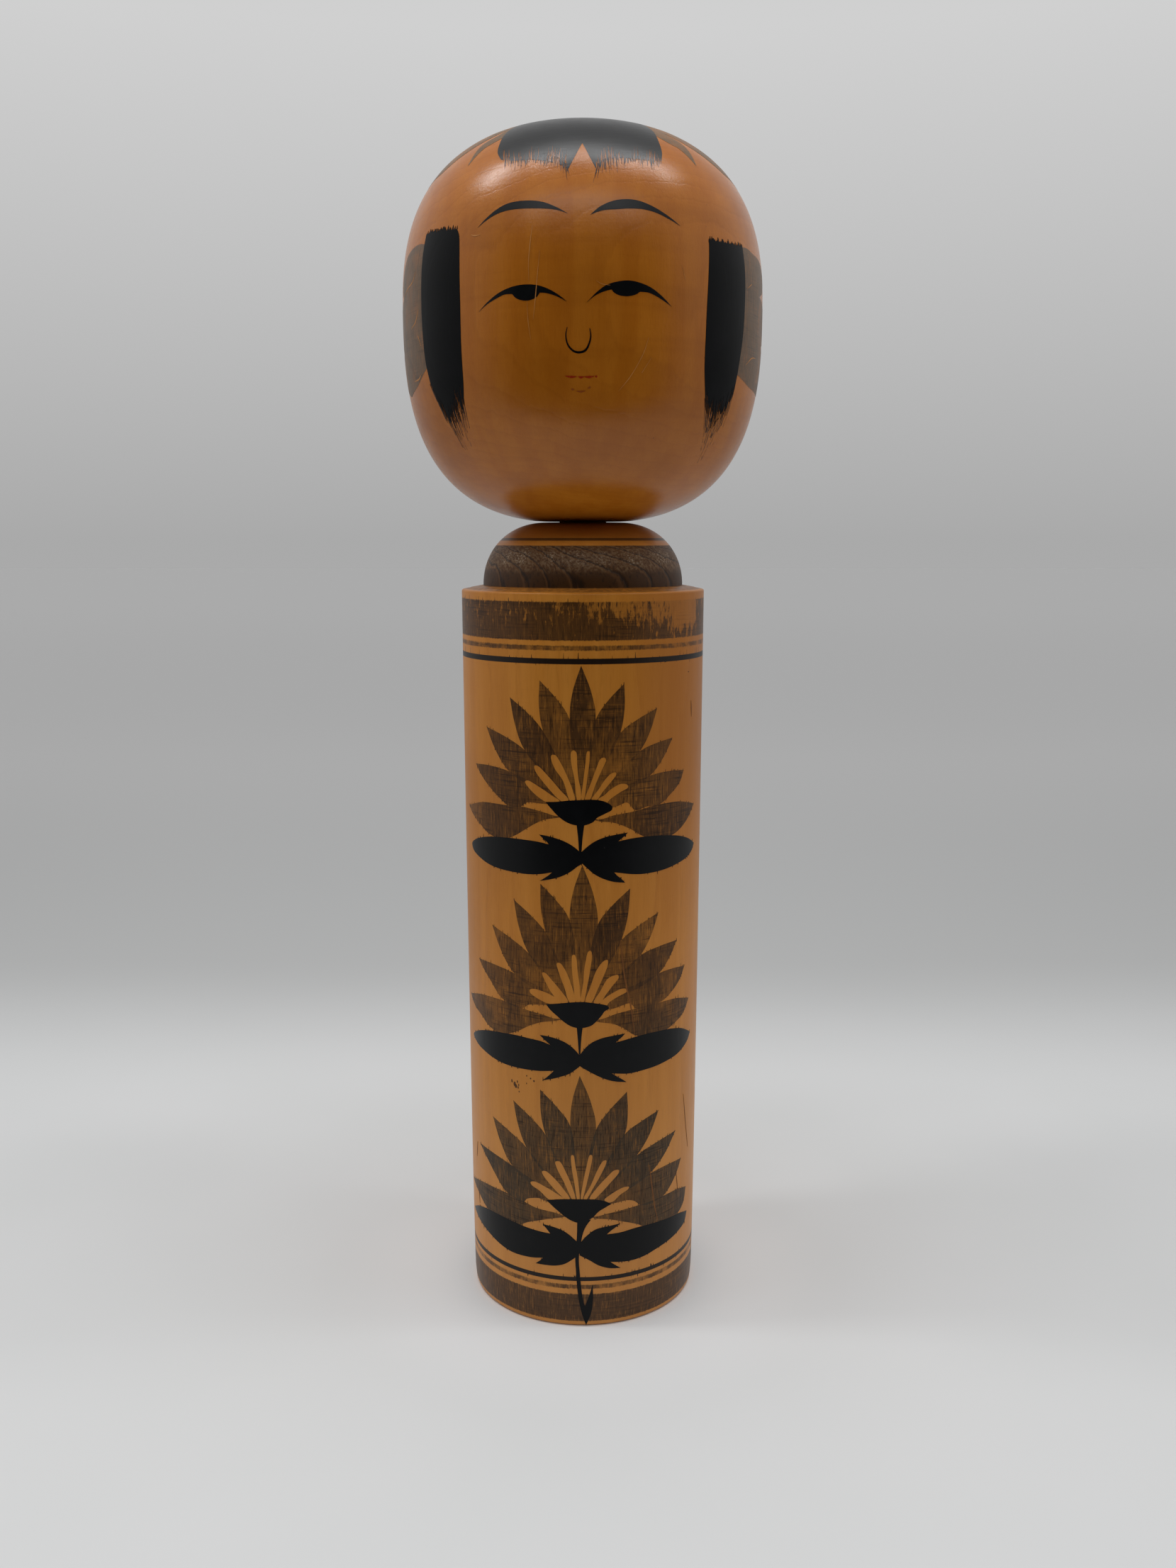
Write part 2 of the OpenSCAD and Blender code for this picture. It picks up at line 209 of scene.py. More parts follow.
EYE_L = [(-31.3, 380.5, 1), (-28.1, 383.5), (-24.4, 386.1), (-20.3, 387.7), (-16.5, 388.2), (-12.7, 387.8), (-9, 386.2), (-6.2, 384.2), (-4.3, 382.4, 1), (-7.4, 384.2), (-10.2, 385.2), (-12, 385.4, 1), (-13, 384), (-15.1, 383.1), (-17.3, 383.2), (-19.2, 384.1), (-20.3, 385.4, 1), (-22.6, 385.4), (-25.3, 384.3), (-28.2, 382.8)]
EYE_R = [(1.3, 382, 1), (4.2, 385.4), (7, 387.7), (10.3, 388.9), (13.6, 389.3), (16.9, 388.7), (20.4, 387.2), (23.9, 384.5), (26.6, 381.8, 1), (23.1, 384), (19.5, 385.7), (16.7, 385.9, 1), (15.3, 384.9), (12.9, 384.3), (10.7, 384.5), (9.1, 385.3), (8.4, 386.3, 1), (6.2, 385.6), (3.8, 384.3)]
NOSE = [(-4.2, 374.2), (-4.6, 371.9), (-4.1, 368.8), (-2.5, 366.7), (-0.8, 366.2), (1, 366.9), (2.1, 369.2), (2.5, 371.5), (2.2, 373.9)]
MOUTH = [(-4.9, 358.8), (-2.7, 358.5), (-0.5, 358.6), (1.9, 358.4), (4.2, 358.8)]
LIP = [(-3, 354.4), (-1.9, 353.9), (-0.6, 354), (1.4, 354.3)]
BURN_L = [(-55.9, 409.5, 1), (-40.2, 408.6, 1), (-39.1, 406.4), (-38.2, 385.9), (-38.3, 372), (-38.8, 358), (-39.5, 353.4, 1), (-42.0, 351.8), (-45.2, 349.2), (-48.2, 347.2, 1), (-50.6, 350.6), (-52.8, 354.0), (-54.8, 358.0, 1), (-56.5, 367.3), (-56.9, 374.1), (-57.3, 383.7), (-57.2, 393.3), (-56.8, 401.8)]
BURN_R = [(40.5, 405, 1), (57.7, 405.6, 1), (58.4, 398.3), (58.5, 388.7), (57.8, 376.1), (56.6, 366.3), (55.7, 357.6, 1), (53.4, 353.2), (51.0, 350.4), (48.4, 348.8, 1), (45.0, 350.0), (41.7, 351.9, 1), (39.6, 362.8), (39.2, 376.7), (39.7, 390.7)]
# Laid out flat around the crown, in mm, -y to the front.
FRINGE = [(-5.2, -69.6, 1), (-8.3, -67.6), (-12.3, -65.6), (-16.2, -63.6), (-20.3, -61.9), (-25.3, -59.8), (-30.6, -55.8, 1),
          (-31.4, -50.9), (-30.0, -44.9), (-27.7, -37.8), (-22.8, -28.0), (-16.5, -19.5), (-10.0, -13.0), (-5.0, -8.5), (0.0, -6.5),
          (5.0, -8.5), (10.5, -13.0), (17.5, -20.5), (25.0, -36.5), (27.8, -45.7), (29.7, -52.4), (30.0, -56.9, 1),
          (26.6, -59.0), (21.1, -61.2), (15.7, -62.8), (10.4, -64.8), (7.2, -67.2), (5.3, -69.4, 1), (3.0, -64.9), (0.1, -58.0, 1), (-2.7, -64.6)]

SEED = random.Random(494)


def smooth_outline(points, scale, step=0.9, closed=True):
    """Centripetal Catmull-Rom through the points, straight joins at the corners. Returns flat mm points."""
    pts = [((p[0] * scale[0]), (p[1] * scale[1]), len(p) > 2) for p in points]
    n = len(pts)
    out = []
    count = n if closed else n - 1
    for i in range(count):
        p1, p2 = pts[i], pts[(i + 1) % n]
        p0 = pts[(i - 1) % n] if (closed or i > 0) and not p1[2] else (2 * p1[0] - p2[0], 2 * p1[1] - p2[1])
        p3 = pts[(i + 2) % n] if (closed or i + 2 < n) and not p2[2] else (2 * p2[0] - p1[0], 2 * p2[1] - p1[1])
        q = [np.array(p[:2], float) for p in (p0, p1, p2, p3)]
        length = float(np.linalg.norm(q[2] - q[1]))
        if length < 1e-6:
            continue
        t = [0.0]
        for a, b in zip(q, q[1:]):
            t.append(t[-1] + max(1e-4, float(np.linalg.norm(b - a)) ** 0.5))
        k = max(1, int(math.ceil(length / step)))
        for j in range(k):
            u = t[1] + (t[2] - t[1]) * j / k
            a1 = (t[1] - u) / (t[1] - t[0]) * q[0] + (u - t[0]) / (t[1] - t[0]) * q[1]
            a2 = (t[2] - u) / (t[2] - t[1]) * q[1] + (u - t[1]) / (t[2] - t[1]) * q[2]
            a3 = (t[3] - u) / (t[3] - t[2]) * q[2] + (u - t[2]) / (t[3] - t[2]) * q[3]
            b1 = (t[2] - u) / (t[2] - t[0]) * a1 + (u - t[0]) / (t[2] - t[0]) * a2
            b2 = (t[3] - u) / (t[3] - t[1]) * a2 + (u - t[1]) / (t[3] - t[1]) * a3
            out.append(tuple((t[2] - u) / (t[2] - t[1]) * b1 + (u - t[1]) / (t[2] - t[1]) * b2))
    if not closed:
        out.append((pts[-1][0], pts[-1][1]))
    return out


def stroke(points, widths, scale, step=0.8):
    """A brush stroke along an open line: widths are full widths along it. Returns a closed flat outline."""
    line = np.array(smooth_outline(points, scale, step, closed=False))
    d = np.gradient(line, axis=0)
    d /= np.maximum(1e-9, np.linalg.norm(d, axis=1))[:, None]
    nrm = np.stack([-d[:, 1], d[:, 0]], 1)
    u = np.linspace(0, 1, len(line))
    w = np.interp(u, np.linspace(0, 1, len(widths)), widths) / 2
    left, right = line + nrm * w[:, None], line - nrm * w[:, None]
    return [tuple(p) for p in left] + [tuple(p) for p in right[::-1]]


def sliver(x, y, dx, dy, w, tip=0.15):
    """A single brush hair's mark, or a short run of ink along the grain."""
    n = math.hypot(dx, dy)
    ox, oy = -dy / n * w / 2, dx / n * w / 2
    m = 0.55
    return [(x + ox, y + oy), (x - ox, y - oy), (x + dx * m - ox * 0.8, y + dy * m - oy * 0.8), (x + dx - ox * tip, y + dy - oy * tip),
            (x + dx + ox * tip, y + dy + oy * tip), (x + dx * m + ox * 0.8, y + dy * m + oy * 0.8)]


def runs(outline, every, length, width, up=True, down=True, jitter=0.6):
    """Short runs of ink along the vertical grain, from the edges of a shape that lie across it."""
    out = []
    pts = outline
    for a, b in zip(pts, pts[1:] + pts[:1]):
        seg = math.hypot(b[0] - a[0], b[1] - a[1])
        if seg < 1e-6 or abs(b[0] - a[0]) / seg < 0.55:
            continue
        if SEED.random() > seg / every:
            continue
        sign = SEED.choice([s for s, ok in ((1, up), (-1, down)) if ok])
        ell = length * (0.35 + SEED.random() ** 2 * 1.3)
        u = SEED.random()
        x, y = a[0] + (b[0] - a[0]) * u, a[1] + (b[1] - a[1]) * u
        out.append(sliver(x, y - sign * 0.5, (SEED.random() - 0.5) * 0.1, sign * (ell + 0.5), width * (0.7 + SEED.random() * 0.6)))
    return out


def inside(px, py, poly):
    p = np.asarray(poly)
    x0, y0 = p[:, 0], p[:, 1]
    x1, y1 = np.roll(x0, -1), np.roll(y0, -1)
    cond = (y0[None] > py[:, None]) != (y1[None] > py[:, None])
    with np.errstate(divide="ignore", invalid="ignore"):
        xc = (x1 - x0)[None] * (py[:, None] - y0[None]) / (y1 - y0)[None] + x0[None]
    return (np.sum(cond & (px[:, None] < xc), axis=1) % 2) == 1


def film(name, shapes, holes, mapping, scale, body, mat, lift=0.06, sink=0.14, grid=2.0, dens=None):
    """A thin closed skin of dye or ink that follows the turned surface. shapes and holes are flat mm outlines."""
    verts, edges = [], []
    for poly in shapes + holes:
        k = len(verts)
        verts += [Vector(p) for p in poly]
        edges += [(k + i, k + (i + 1) % len(poly)) for i in range(len(poly))]
    arr = np.array([tuple(v) for v in verts])
    lo, hi = arr.min(0), arr.max(0)
    extra = []
    rows = int((hi[1] - lo[1]) / (grid * 0.866)) + 1
    cols = int((hi[0] - lo[0]) / grid) + 1
    gx, gy = [], []
    for j in range(rows):
        for i in range(cols):
            gx.append(lo[0] + (i + 0.5 * (j % 2)) * grid)
            gy.append(lo[1] + j * grid * 0.866)
    gx, gy = np.array(gx), np.array(gy)
    keep = np.zeros(len(gx), bool)
    for poly in shapes:
        keep |= inside(gx, gy, poly)
    gx, gy = gx[keep], gy[keep]
    for a in range(0, len(gx), 400):
        d = np.min((gx[a:a + 400, None] - arr[None, :, 0]) ** 2 + (gy[a:a + 400, None] - arr[None, :, 1]) ** 2, axis=1)
        for x, y, q in zip(gx[a:a + 400], gy[a:a + 400], d):
            if q > (0.42 * grid) ** 2:
                extra.append(Vector((x, y)))
    out = delaunay_2d_cdt(verts + extra, edges, [], 0, 1e-5)
    v2, tris = np.array([tuple(v) for v in out[0]]), [f for f in out[2]]
    cen = np.array([v2[list(f)].mean(0) for f in tris])
    hits = np.stack([inside(cen[:, 0], cen[:, 1], poly) for poly in shapes], 1)
    keep = hits.any(1)
    for poly in holes:
        keep &= ~inside(cen[:, 0], cen[:, 1], poly)
    kept = [i for i in range(len(tris)) if keep[i]]
    used = sorted({v for i in kept for v in tris[i]})
    new = {v: k for k, v in enumerate(used)}
    top, bottom, nt, nb = [], [], [], []
    for v in used:
        x, y = v2[v][0] / scale[0], v2[v][1] / scale[1]
        p, n = mapping(x, y, lift)
        q, _ = mapping(x, y, -sink)
        top.append(p); nt.append(n)
        bottom.append(q); nb.append(-n)
    k = len(top)
    faces, seen = [], {}
    for i in kept:
        f = [new[v] for v in tris[i]]
        faces.append(tuple(f))
        for a, b in ((f[0], f[1]), (f[1], f[2]), (f[2], f[0])):
            seen[(a, b)] = True
    count_top = len(faces)
    faces += [(f[2] + k, f[1] + k, f[0] + k) for f in faces[:count_top]]
    for (a, b) in list(seen):
        if (b, a) not in seen:
            faces.append((b, a, a + k, b + k))
    me = bpy.data.meshes.new(name)
    me.from_pydata([tuple(p) for p in top + bottom], [], faces)
    me.update()
    if dens is not None:
        att = me.attributes.new("dens", "FLOAT", "FACE")
        vals = np.zeros(len(me.polygons), np.float32)
        h = hits[kept]
        weight = np.array(dens)[None] * h
        vals[:count_top] = np.max(weight, axis=1) + 0.10 * np.clip(h[:, :11].sum(1) - 1, 0, 2)
        vals[count_top:2 * count_top] = vals[:count_top]
        vals[2 * count_top:] = 1.0
        att.data.foreach_set("value", vals)
    # the bake map: the top skin fills the image, the hidden faces share a narrow strip
    uv = me.uv_layers.new(name="OFBake")
    sx, sy = hi - lo
    s = 0.93 / max(sx, sy, 1e-6)
    flat = [((v2[v][0] - lo[0]) * s + 0.01, (v2[v][1] - lo[1]) * s + 0.06) for v in used]
    co = []
    for fi, poly in enumerate(me.polygons):
        for li, vi in zip(poly.loop_indices, poly.vertices):
            u, w = flat[vi % k]
            co.append((u, w) if fi < count_top else (u, 0.005 + 0.03 * w))
    uv.data.foreach_set("uv", np.array(co, np.float32).ravel())
    me.shade_smooth()
    me.normals_split_custom_set_from_vertices([tuple(n) for n in nt + nb])
    me.materials.append(mat)
    ob = bpy.data.objects.new(name, me)
    bpy.context.scene.collection.objects.link(ob)
    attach(ob, body)
    return ob


# ---------------------------------------------------------------- materials
def srgb(r, g, b):
    return tuple((c / 255 / 12.92) if c / 255 <= 0.04045 else ((c / 255 + 0.055) / 1.055) ** 2.4 for c in (r, g, b)) + (1.0,)


class Nodes:
    """A little shorthand for building one material's node tree."""

    def __init__(self, name):
        self.mat = bpy.data.materials.new(name)
        self.mat.use_nodes = True
        self.nt = self.mat.node_tree
        self.nt.nodes.clear()
        self.x = 0

    def new(self, kind, **props):
        n = self.nt.nodes.new(kind)
        self.x += 40
        n.location = (self.x, 0)
        for k, v in props.items():
            setattr(n, k, v)
        return n

    def put(self, socket, value):
        if isinstance(value, bpy.types.NodeSocket):
            self.nt.links.new(value, socket)
        else:
            socket.default_value = value

    def m(self, op, a, b=0.0, c=None, clamp=False):
        n = self.new("ShaderNodeMath", operation=op, use_clamp=clamp)
        self.put(n.inputs[0], a)
        self.put(n.inputs[1], b)
        if c is not None:
            self.put(n.inputs[2], c)
        return n.outputs[0]

    def v(self, op, a, b=(0, 0, 0)):
        n = self.new("ShaderNodeVectorMath", operation=op)
        self.put(n.inputs[0], a)
        self.put(n.inputs[1], b)
        return n.outputs["Value"] if op in ("LENGTH", "DOT_PRODUCT", "DISTANCE") else n.outputs[0]

    def noise(self, vec, scale, detail=2.0, rough=0.5, distort=0.0, color=False):
        """scale is cycles per mm along each axis, or one number."""
        s = scale if isinstance(scale, tuple) else (scale,) * 3
        n = self.new("ShaderNodeTexNoise", noise_dimensions="3D")
        self.put(n.inputs["Vector"], self.v("MULTIPLY", vec, s))
        n.inputs["Scale"].default_value = 1.0
        n.inputs["Detail"].default_value = detail
        n.inputs["Roughness"].default_value = rough
        n.inputs["Distortion"].default_value = distort
        return n.outputs["Color"] if color else n.outputs["Fac"]

    def step(self, value, lo, hi, a=0.0, b=1.0):
        n = self.new("ShaderNodeMapRange", interpolation_type="SMOOTHSTEP")
        self.put(n.inputs["Value"], value)
        self.put(n.inputs["From Min"], lo)
        self.put(n.inputs["From Max"], hi)
        self.put(n.inputs["To Min"], a)
        self.put(n.inputs["To Max"], b)
        return n.outputs["Result"]

    def mix(self, f, a, b, blend="MIX"):
        n = self.new("ShaderNodeMix", data_type="RGBA", blend_type=blend, clamp_factor=True)
        self.put(n.inputs[0], f)
        self.put(n.inputs[6], a)
        self.put(n.inputs[7], b)
        return n.outputs[2]

    def band(self, z, lo, hi, soft=0.12):
        """1 between two heights; lo and hi may be sockets."""
        a = self.m("MULTIPLY_ADD", self.m("SUBTRACT", z, lo), 0.5 / soft, 0.5, clamp=True)
        b = self.m("MULTIPLY_ADD", self.m("SUBTRACT", hi, z), 0.5 / soft, 0.5, clamp=True)
        return self.m("MULTIPLY", a, b)

    def finish(self, color, rough, height, bump=0.35, distance=0.00012, spec=0.5, coat=0.0, coat_rough=0.1):
        p = self.new("ShaderNodeBsdfPrincipled")
        o = self.new("ShaderNodeOutputMaterial")
        self.put(p.inputs["Base Color"], color)
        self.put(p.inputs["Roughness"], rough)
        p.inputs["Specular IOR Level"].default_value = spec
        p.inputs["Coat Weight"].default_value = coat
        p.inputs["Coat Roughness"].default_value = coat_rough
        if height is not None:
            b = self.new("ShaderNodeBump")
            b.inputs["Strength"].default_value = bump
            b.inputs["Distance"].default_value = distance
            self.put(b.inputs["Height"], height)
            self.put(p.inputs["Normal"], b.outputs["Normal"])
        self.nt.links.new(p.outputs["BSDF"], o.inputs["Surface"])
        return self.mat


# aged, waxed dogwood: amber, close-grained, its growth rings nearly concentric with the lathe axis
WOODS = {"body": (srgb(213, 141, 56), srgb(197, 125, 43), srgb(150, 84, 22)), "head": (srgb(197, 119, 31), srgb(182, 104, 21), srgb(139, 73, 9))}
PITH = {"body": (7.5, -0.9, 0.0), "head": (-6.0, 5.5, 0.0)}


def wood(n, which, figure=1.0):
    """Colour and height of the bare wood, from the place in the turning."""
    light, mid_c, dark = WOODS[which]
    tc = n.new("ShaderNodeTexCoord")
    p = n.v("MULTIPLY", tc.outputs["Object"], (1000.0, 1000.0, 1000.0))
    warp = n.v("MULTIPLY", n.v("SUBTRACT", n.noise(p, (0.03, 0.03, 0.006), 2, color=True), (0.5, 0.5, 0.5)), (5.0, 5.0, 0.0))
    wiggle = n.v("MULTIPLY", n.v("SUBTRACT", n.noise(p, (0.45, 0.45, 0.10), 2, color=True), (0.5, 0.5, 0.5)), (0.7, 0.7, 0.0))
    q = n.v("ADD", p, n.v("ADD", warp, wiggle))
    sep = n.new("ShaderNodeSeparateXYZ")
    n.put(sep.inputs[0], p)
    flat = n.v("MULTIPLY", n.v("SUBTRACT", q, PITH[which]), (1.0, 1.0, 0.0))
    dist = n.v("LENGTH", flat)
    ring = n.m("FRACT", n.m("MULTIPLY", dist, 1 / 2.1))
    line = n.m("MULTIPLY", n.step(ring, 0.80, 0.93), n.step(ring, 1.0, 0.955))
    glow = n.m("MULTIPLY", n.step(ring, 0.005, 0.04), n.step(ring, 0.15, 0.06))
    sweep = n.m("MULTIPLY", ring, n.step(ring, 1.0, 0.86))
    fine = n.noise(p, (2.2, 2.2, 0.16), 3, 0.6)
    figures = n.noise(q, (0.13, 0.13, 0.006), 3, 0.55)
    lathe = n.noise(p, (0.02, 0.02, 1.7), 3, 0.6)
    broad = n.noise(p, (0.016, 0.016, 0.010), 2)
    c = n.mix(n.m("MULTIPLY_ADD", n.step(figures, 0.34, 0.66), 0.62, 0.19), light, mid_c)
    c = n.mix(n.m("MULTIPLY", n.step(broad, 0.40, 0.70), 0.26), c, dark)
    c = n.mix(n.m("MULTIPLY", sweep, 0.09 * figure), c, dark)
    c = n.mix(n.m("MULTIPLY", line, 0.11 * figure), c, dark)
    c = n.mix(n.m("MULTIPLY", n.step(fine, 0.50, 0.74), 0.16), c, dark)
    c = n.mix(n.m("MULTIPLY", n.step(fine, 0.46, 0.30), 0.14), c, light)
    c = n.mix(n.m("MULTIPLY", n.step(lathe, 0.55, 0.75), 0.06), c, dark)
    height = n.m("ADD", n.m("MULTIPLY", fine, 0.5), n.m("ADD", n.m("MULTIPLY", lathe, 0.35), n.m("MULTIPLY", line, -0.25)))
    return dict(p=p, q=q, x=sep.outputs[0], y=sep.outputs[1], z=sep.outputs[2], color=c, height=height, fine=fine, flat=flat, dist=dist,
                lathe=lathe, broad=broad, line=line, glow=glow, light=light, mid=mid_c, dark=dark)


def weave(n, w):
    """How far the dye covers: it sinks into the grain's open lines and into the tool's ridges, and rubs off between.
    Returns light threads and dark threads."""
    p = w["p"]
    up = n.noise(p, (1.9, 1.9, 0.17), 3, 0.66)
    across = n.noise(p, (0.06, 0.06, 1.5), 3, 0.72)
    patch = n.step(n.noise(p, 0.07, 2), 0.36, 0.62)
    light = n.m("ADD", n.m("MULTIPLY", n.step(up, 0.53, 0.68), 0.85), n.m("MULTIPLY", n.m("MULTIPLY", n.step(across, 0.55, 0.68), patch), 0.40))
    dark = n.m("ADD", n.m("MULTIPLY", n.step(up, 0.465, 0.35), 0.85), n.m("MULTIPLY", n.step(across, 0.455, 0.37), n.m("MULTIPLY_ADD", patch, 0.70, 0.25)))
    return n.m("MINIMUM", light, 1.0), n.m("MINIMUM", dark, 1.0)


DYE = srgb(77, 49, 23)
DYE_DEEP = srgb(38, 23, 11)
INK = srgb(6, 7, 9)


def dye_material(name, which, strength=0.90, deep=0.75, attr=True, tint=DYE, spec=0.16, hearts=()):
    n = Nodes(name)
    w = wood(n, which)
    light, dark = weave(n, w)
    thin = n.step(n.noise(w["p"], (0.085, 0.085, 0.06), 3, 0.6), 0.50, 0.68)
    if hearts:
        thin = n.m("MULTIPLY", thin, n.step(w["z"], 70.0, 130.0, 0.25, 1.0))
    heart = None
    for h in hearts:
        d = n.v("LENGTH", n.v("MULTIPLY", n.v("SUBTRACT", w["p"], (1.0, 0.0, h)), (1.0, 0.0, 1.25)))
        e = n.step(n.m("ADD", d, n.m("MULTIPLY", n.noise(w["p"], 0.12, 2), 9.0)), 33.0, 15.0)
        heart = e if heart is None else n.m("MAXIMUM", heart, e)
    loss = n.m("ADD", n.m("MULTIPLY", light, 0.30), n.m("MULTIPLY", thin, 0.20))
    if hearts:
        loss = n.m("ADD", loss, n.m("MULTIPLY", heart, 0.13))
        tint = n.mix(n.step(w["z"], 150.0, 70.0), tint, srgb(72, 58, 42))
    cover = n.m("SUBTRACT", strength, loss)
    if attr:
        a = n.new("ShaderNodeAttribute", attribute_name="dens")
        cover = n.m("MULTIPLY", cover, a.outputs["Fac"], clamp=True)
    c = n.mix(cover, w["color"], tint)
    c = n.mix(n.m("MULTIPLY", dark, deep), c, DYE_DEEP)
    c = n.mix(n.m("MULTIPLY", w["line"], 0.22), c, DYE_DEEP)
    specks = n.m("MULTIPLY", n.step(n.noise(w["p"], (1.5, 1.5, 0.9), 2), 0.72, 0.80), 0.30)
    c = n.mix(specks, c, w["light"])
    rough = n.m("MULTIPLY_ADD", n.noise(w["p"], 0.25, 2), 0.10, 0.36)
    return n.finish(c, rough, w["height"], bump=0.45, spec=spec)


def ink_material(name, which, edge=0.0, spec=0.16):
    n = Nodes(name)
    w = wood(n, which)
    t = n.step(n.noise(w["p"], (1.9, 1.9, 0.07), 3, 0.65), 0.64, 0.82)
    c = n.mix(n.m("MULTIPLY", t, 0.10 + edge), INK, srgb(58, 40, 24))
    c = n.mix(n.m("MULTIPLY", n.step(n.noise(w["p"], 0.12, 3), 0.45, 0.75), 0.22), c, srgb(22, 22, 25))
    scuffs = n.m("MULTIPLY", n.step(n.noise(w["p"], (0.9, 0.9, 0.25), 3, 0.65), 0.70, 0.78), n.step(n.noise(w["p"], 0.05, 2), 0.52, 0.66))
    c = n.mix(n.m("MULTIPLY", scuffs, 0.30), c, srgb(120, 112, 100))
    rough = n.m("MULTIPLY_ADD", n.noise(w["p"], 0.2, 2), 0.10, 0.26)
    return n.finish(c, rough, w["height"], bump=0.25, spec=spec)


def body_material():
    n = Nodes("body_turned_wood")
    w = wood(n, "body")
    z, p = w["z"], w["p"]
    light, dark = weave(n, w)
    fuzz = n.m("MULTIPLY", n.m("SUBTRACT", n.noise(p, (1.6, 1.6, 0.05), 2), 0.5), 0.7)
    tick_up = n.m("MULTIPLY", n.step(n.noise(p, (1.7, 1.7, 0.015), 1), 0.64, 0.74), 2.2)
    tick_dn = n.m("MULTIPLY", n.step(n.noise(n.v("ADD", p, (37.0, 11.0, 5.0)), (1.7, 1.7, 0.015), 1), 0.68, 0.78), 1.2)
    zf = n.m("ADD", z, fuzz)
    # brown bands
    low = n.band(zf, 2.2, 13.9, 0.18)
    low_thin = n.band(zf, 16.1, 17.9, 0.2)
    up_thin = n.band(zf, 265.25, 266.95, 0.2)
    up = n.band(zf, 268.8, n.m("ADD", 282.6, n.m("MULTIPLY", tick_up, 0.6)), 0.2)
    ledge = n.band(z, 285.95, 287.3, 0.06)
    dome = n.band(n.m("ADD", z, n.m("MULTIPLY", fuzz, 0.3)), 287.15, 302.4, 0.15)
    thin = n.band(n.m("ADD", z, n.m("MULTIPLY", fuzz, 0.15)), 304.2, 305.2, 0.1)
    # where the dye has worn away
    scuff = n.noise(p, (0.75, 0.75, 0.22), 4, 0.68)
    high = n.step(z, 273.5, 279.5, 0.0, 0.09)
    right = n.m("MULTIPLY", n.m("MULTIPLY", n.step(w["x"], 6.0, 34.0), n.step(w["x"], 43.6, 42.4)), n.m("MULTIPLY", n.step(w["y"], 2.0, -8.0), n.step(z, 268.0, 277.0, 0.02, 0.17)))
    bald = n.m("MULTIPLY", n.m("MULTIPLY", n.step(w["x"], 31.5, 34.5), n.step(w["x"], 42.6, 41.8)), n.m("MULTIPLY", n.step(w["y"], 2.0, -8.0), n.step(z, 270.0, 280.0, 0.10, 0.24)))
    mid = n.m("MULTIPLY", n.m("MULTIPLY", n.step(w["x"], -1.0, 4.0), n.step(w["x"], 25.0, 18.0)), n.m("MULTIPLY", n.step(w["y"], 2.0, -8.0), n.step(z, 271.0, 280.0, 0.0, 0.115)))
    worn = n.step(n.m("ADD", n.m("ADD", scuff, high), n.m("ADD", n.m("ADD", right, mid), bald)), 0.61, 0.76)
    blotch = n.step(n.noise(p, (0.25, 0.25, 0.2), 3, 0.6), 0.30, 0.60, 0.45, 1.0)
    cover_up = n.m("MULTIPLY", up, n.m("SUBTRACT", 0.95, n.m("ADD", n.m("MULTIPLY", worn, 0.60), n.m("MULTIPLY", light, 0.16))))
    cover_low = n.m("MULTIPLY", low, n.m("SUBTRACT", 0.94, n.m("MULTIPLY", light, 0.24)))
    cover_thin = n.m("MULTIPLY", n.m("MAXIMUM", up_thin, low_thin), n.m("SUBTRACT", n.m("MULTIPLY", blotch, 0.88), n.m("MULTIPLY", light, 0.22)))
    cover_ledge = n.m("MULTIPLY", ledge, n.m("SUBTRACT", 0.62, n.m("MULTIPLY", n.step(n.noise(p, (0.5, 0.5, 0.5), 3), 0.4, 0.65), 0.3)))
    cover_dome = n.m("MULTIPLY", dome, 0.93)
    cover_dark = n.m("MULTIPLY", thin, 0.86)
    banded = n.m("MAXIMUM", n.m("MAXIMUM", up, low), n.m("MAXIMUM", low_thin, up_thin))
    cover = n.m("MAXIMUM", n.m("MAXIMUM", n.m("MAXIMUM", cover_up, cover_low), n.m("MAXIMUM", cover_thin, cover_ledge)), n.m("MAXIMUM", cover_dome, cover_dark))
    deep = n.m("MAXIMUM", n.m("MULTIPLY", n.band(n.m("ADD", z, n.m("MULTIPLY", fuzz, 1.4)), 281.3, 284.6, 0.6), n.m("MULTIPLY_ADD", up, 0.5, 0.0)),
               n.m("MAXIMUM", n.m("MULTIPLY", n.band(z, 286.9, 293.4, 0.9), 0.80), n.m("MULTIPLY", thin, 0.8)))
    dye = n.mix(n.m("MULTIPLY", n.step(z, 30.0, 16.0), 0.55), n.mix(deep, DYE, DYE_DEEP), srgb(50, 40, 31))
    c = n.mix(cover, w["color"], dye)
    c = n.mix(n.m("MULTIPLY", n.m("MULTIPLY", banded, dark), n.m("SUBTRACT", 0.62, n.m("MULTIPLY", worn, 0.3))), c, DYE_DEEP)
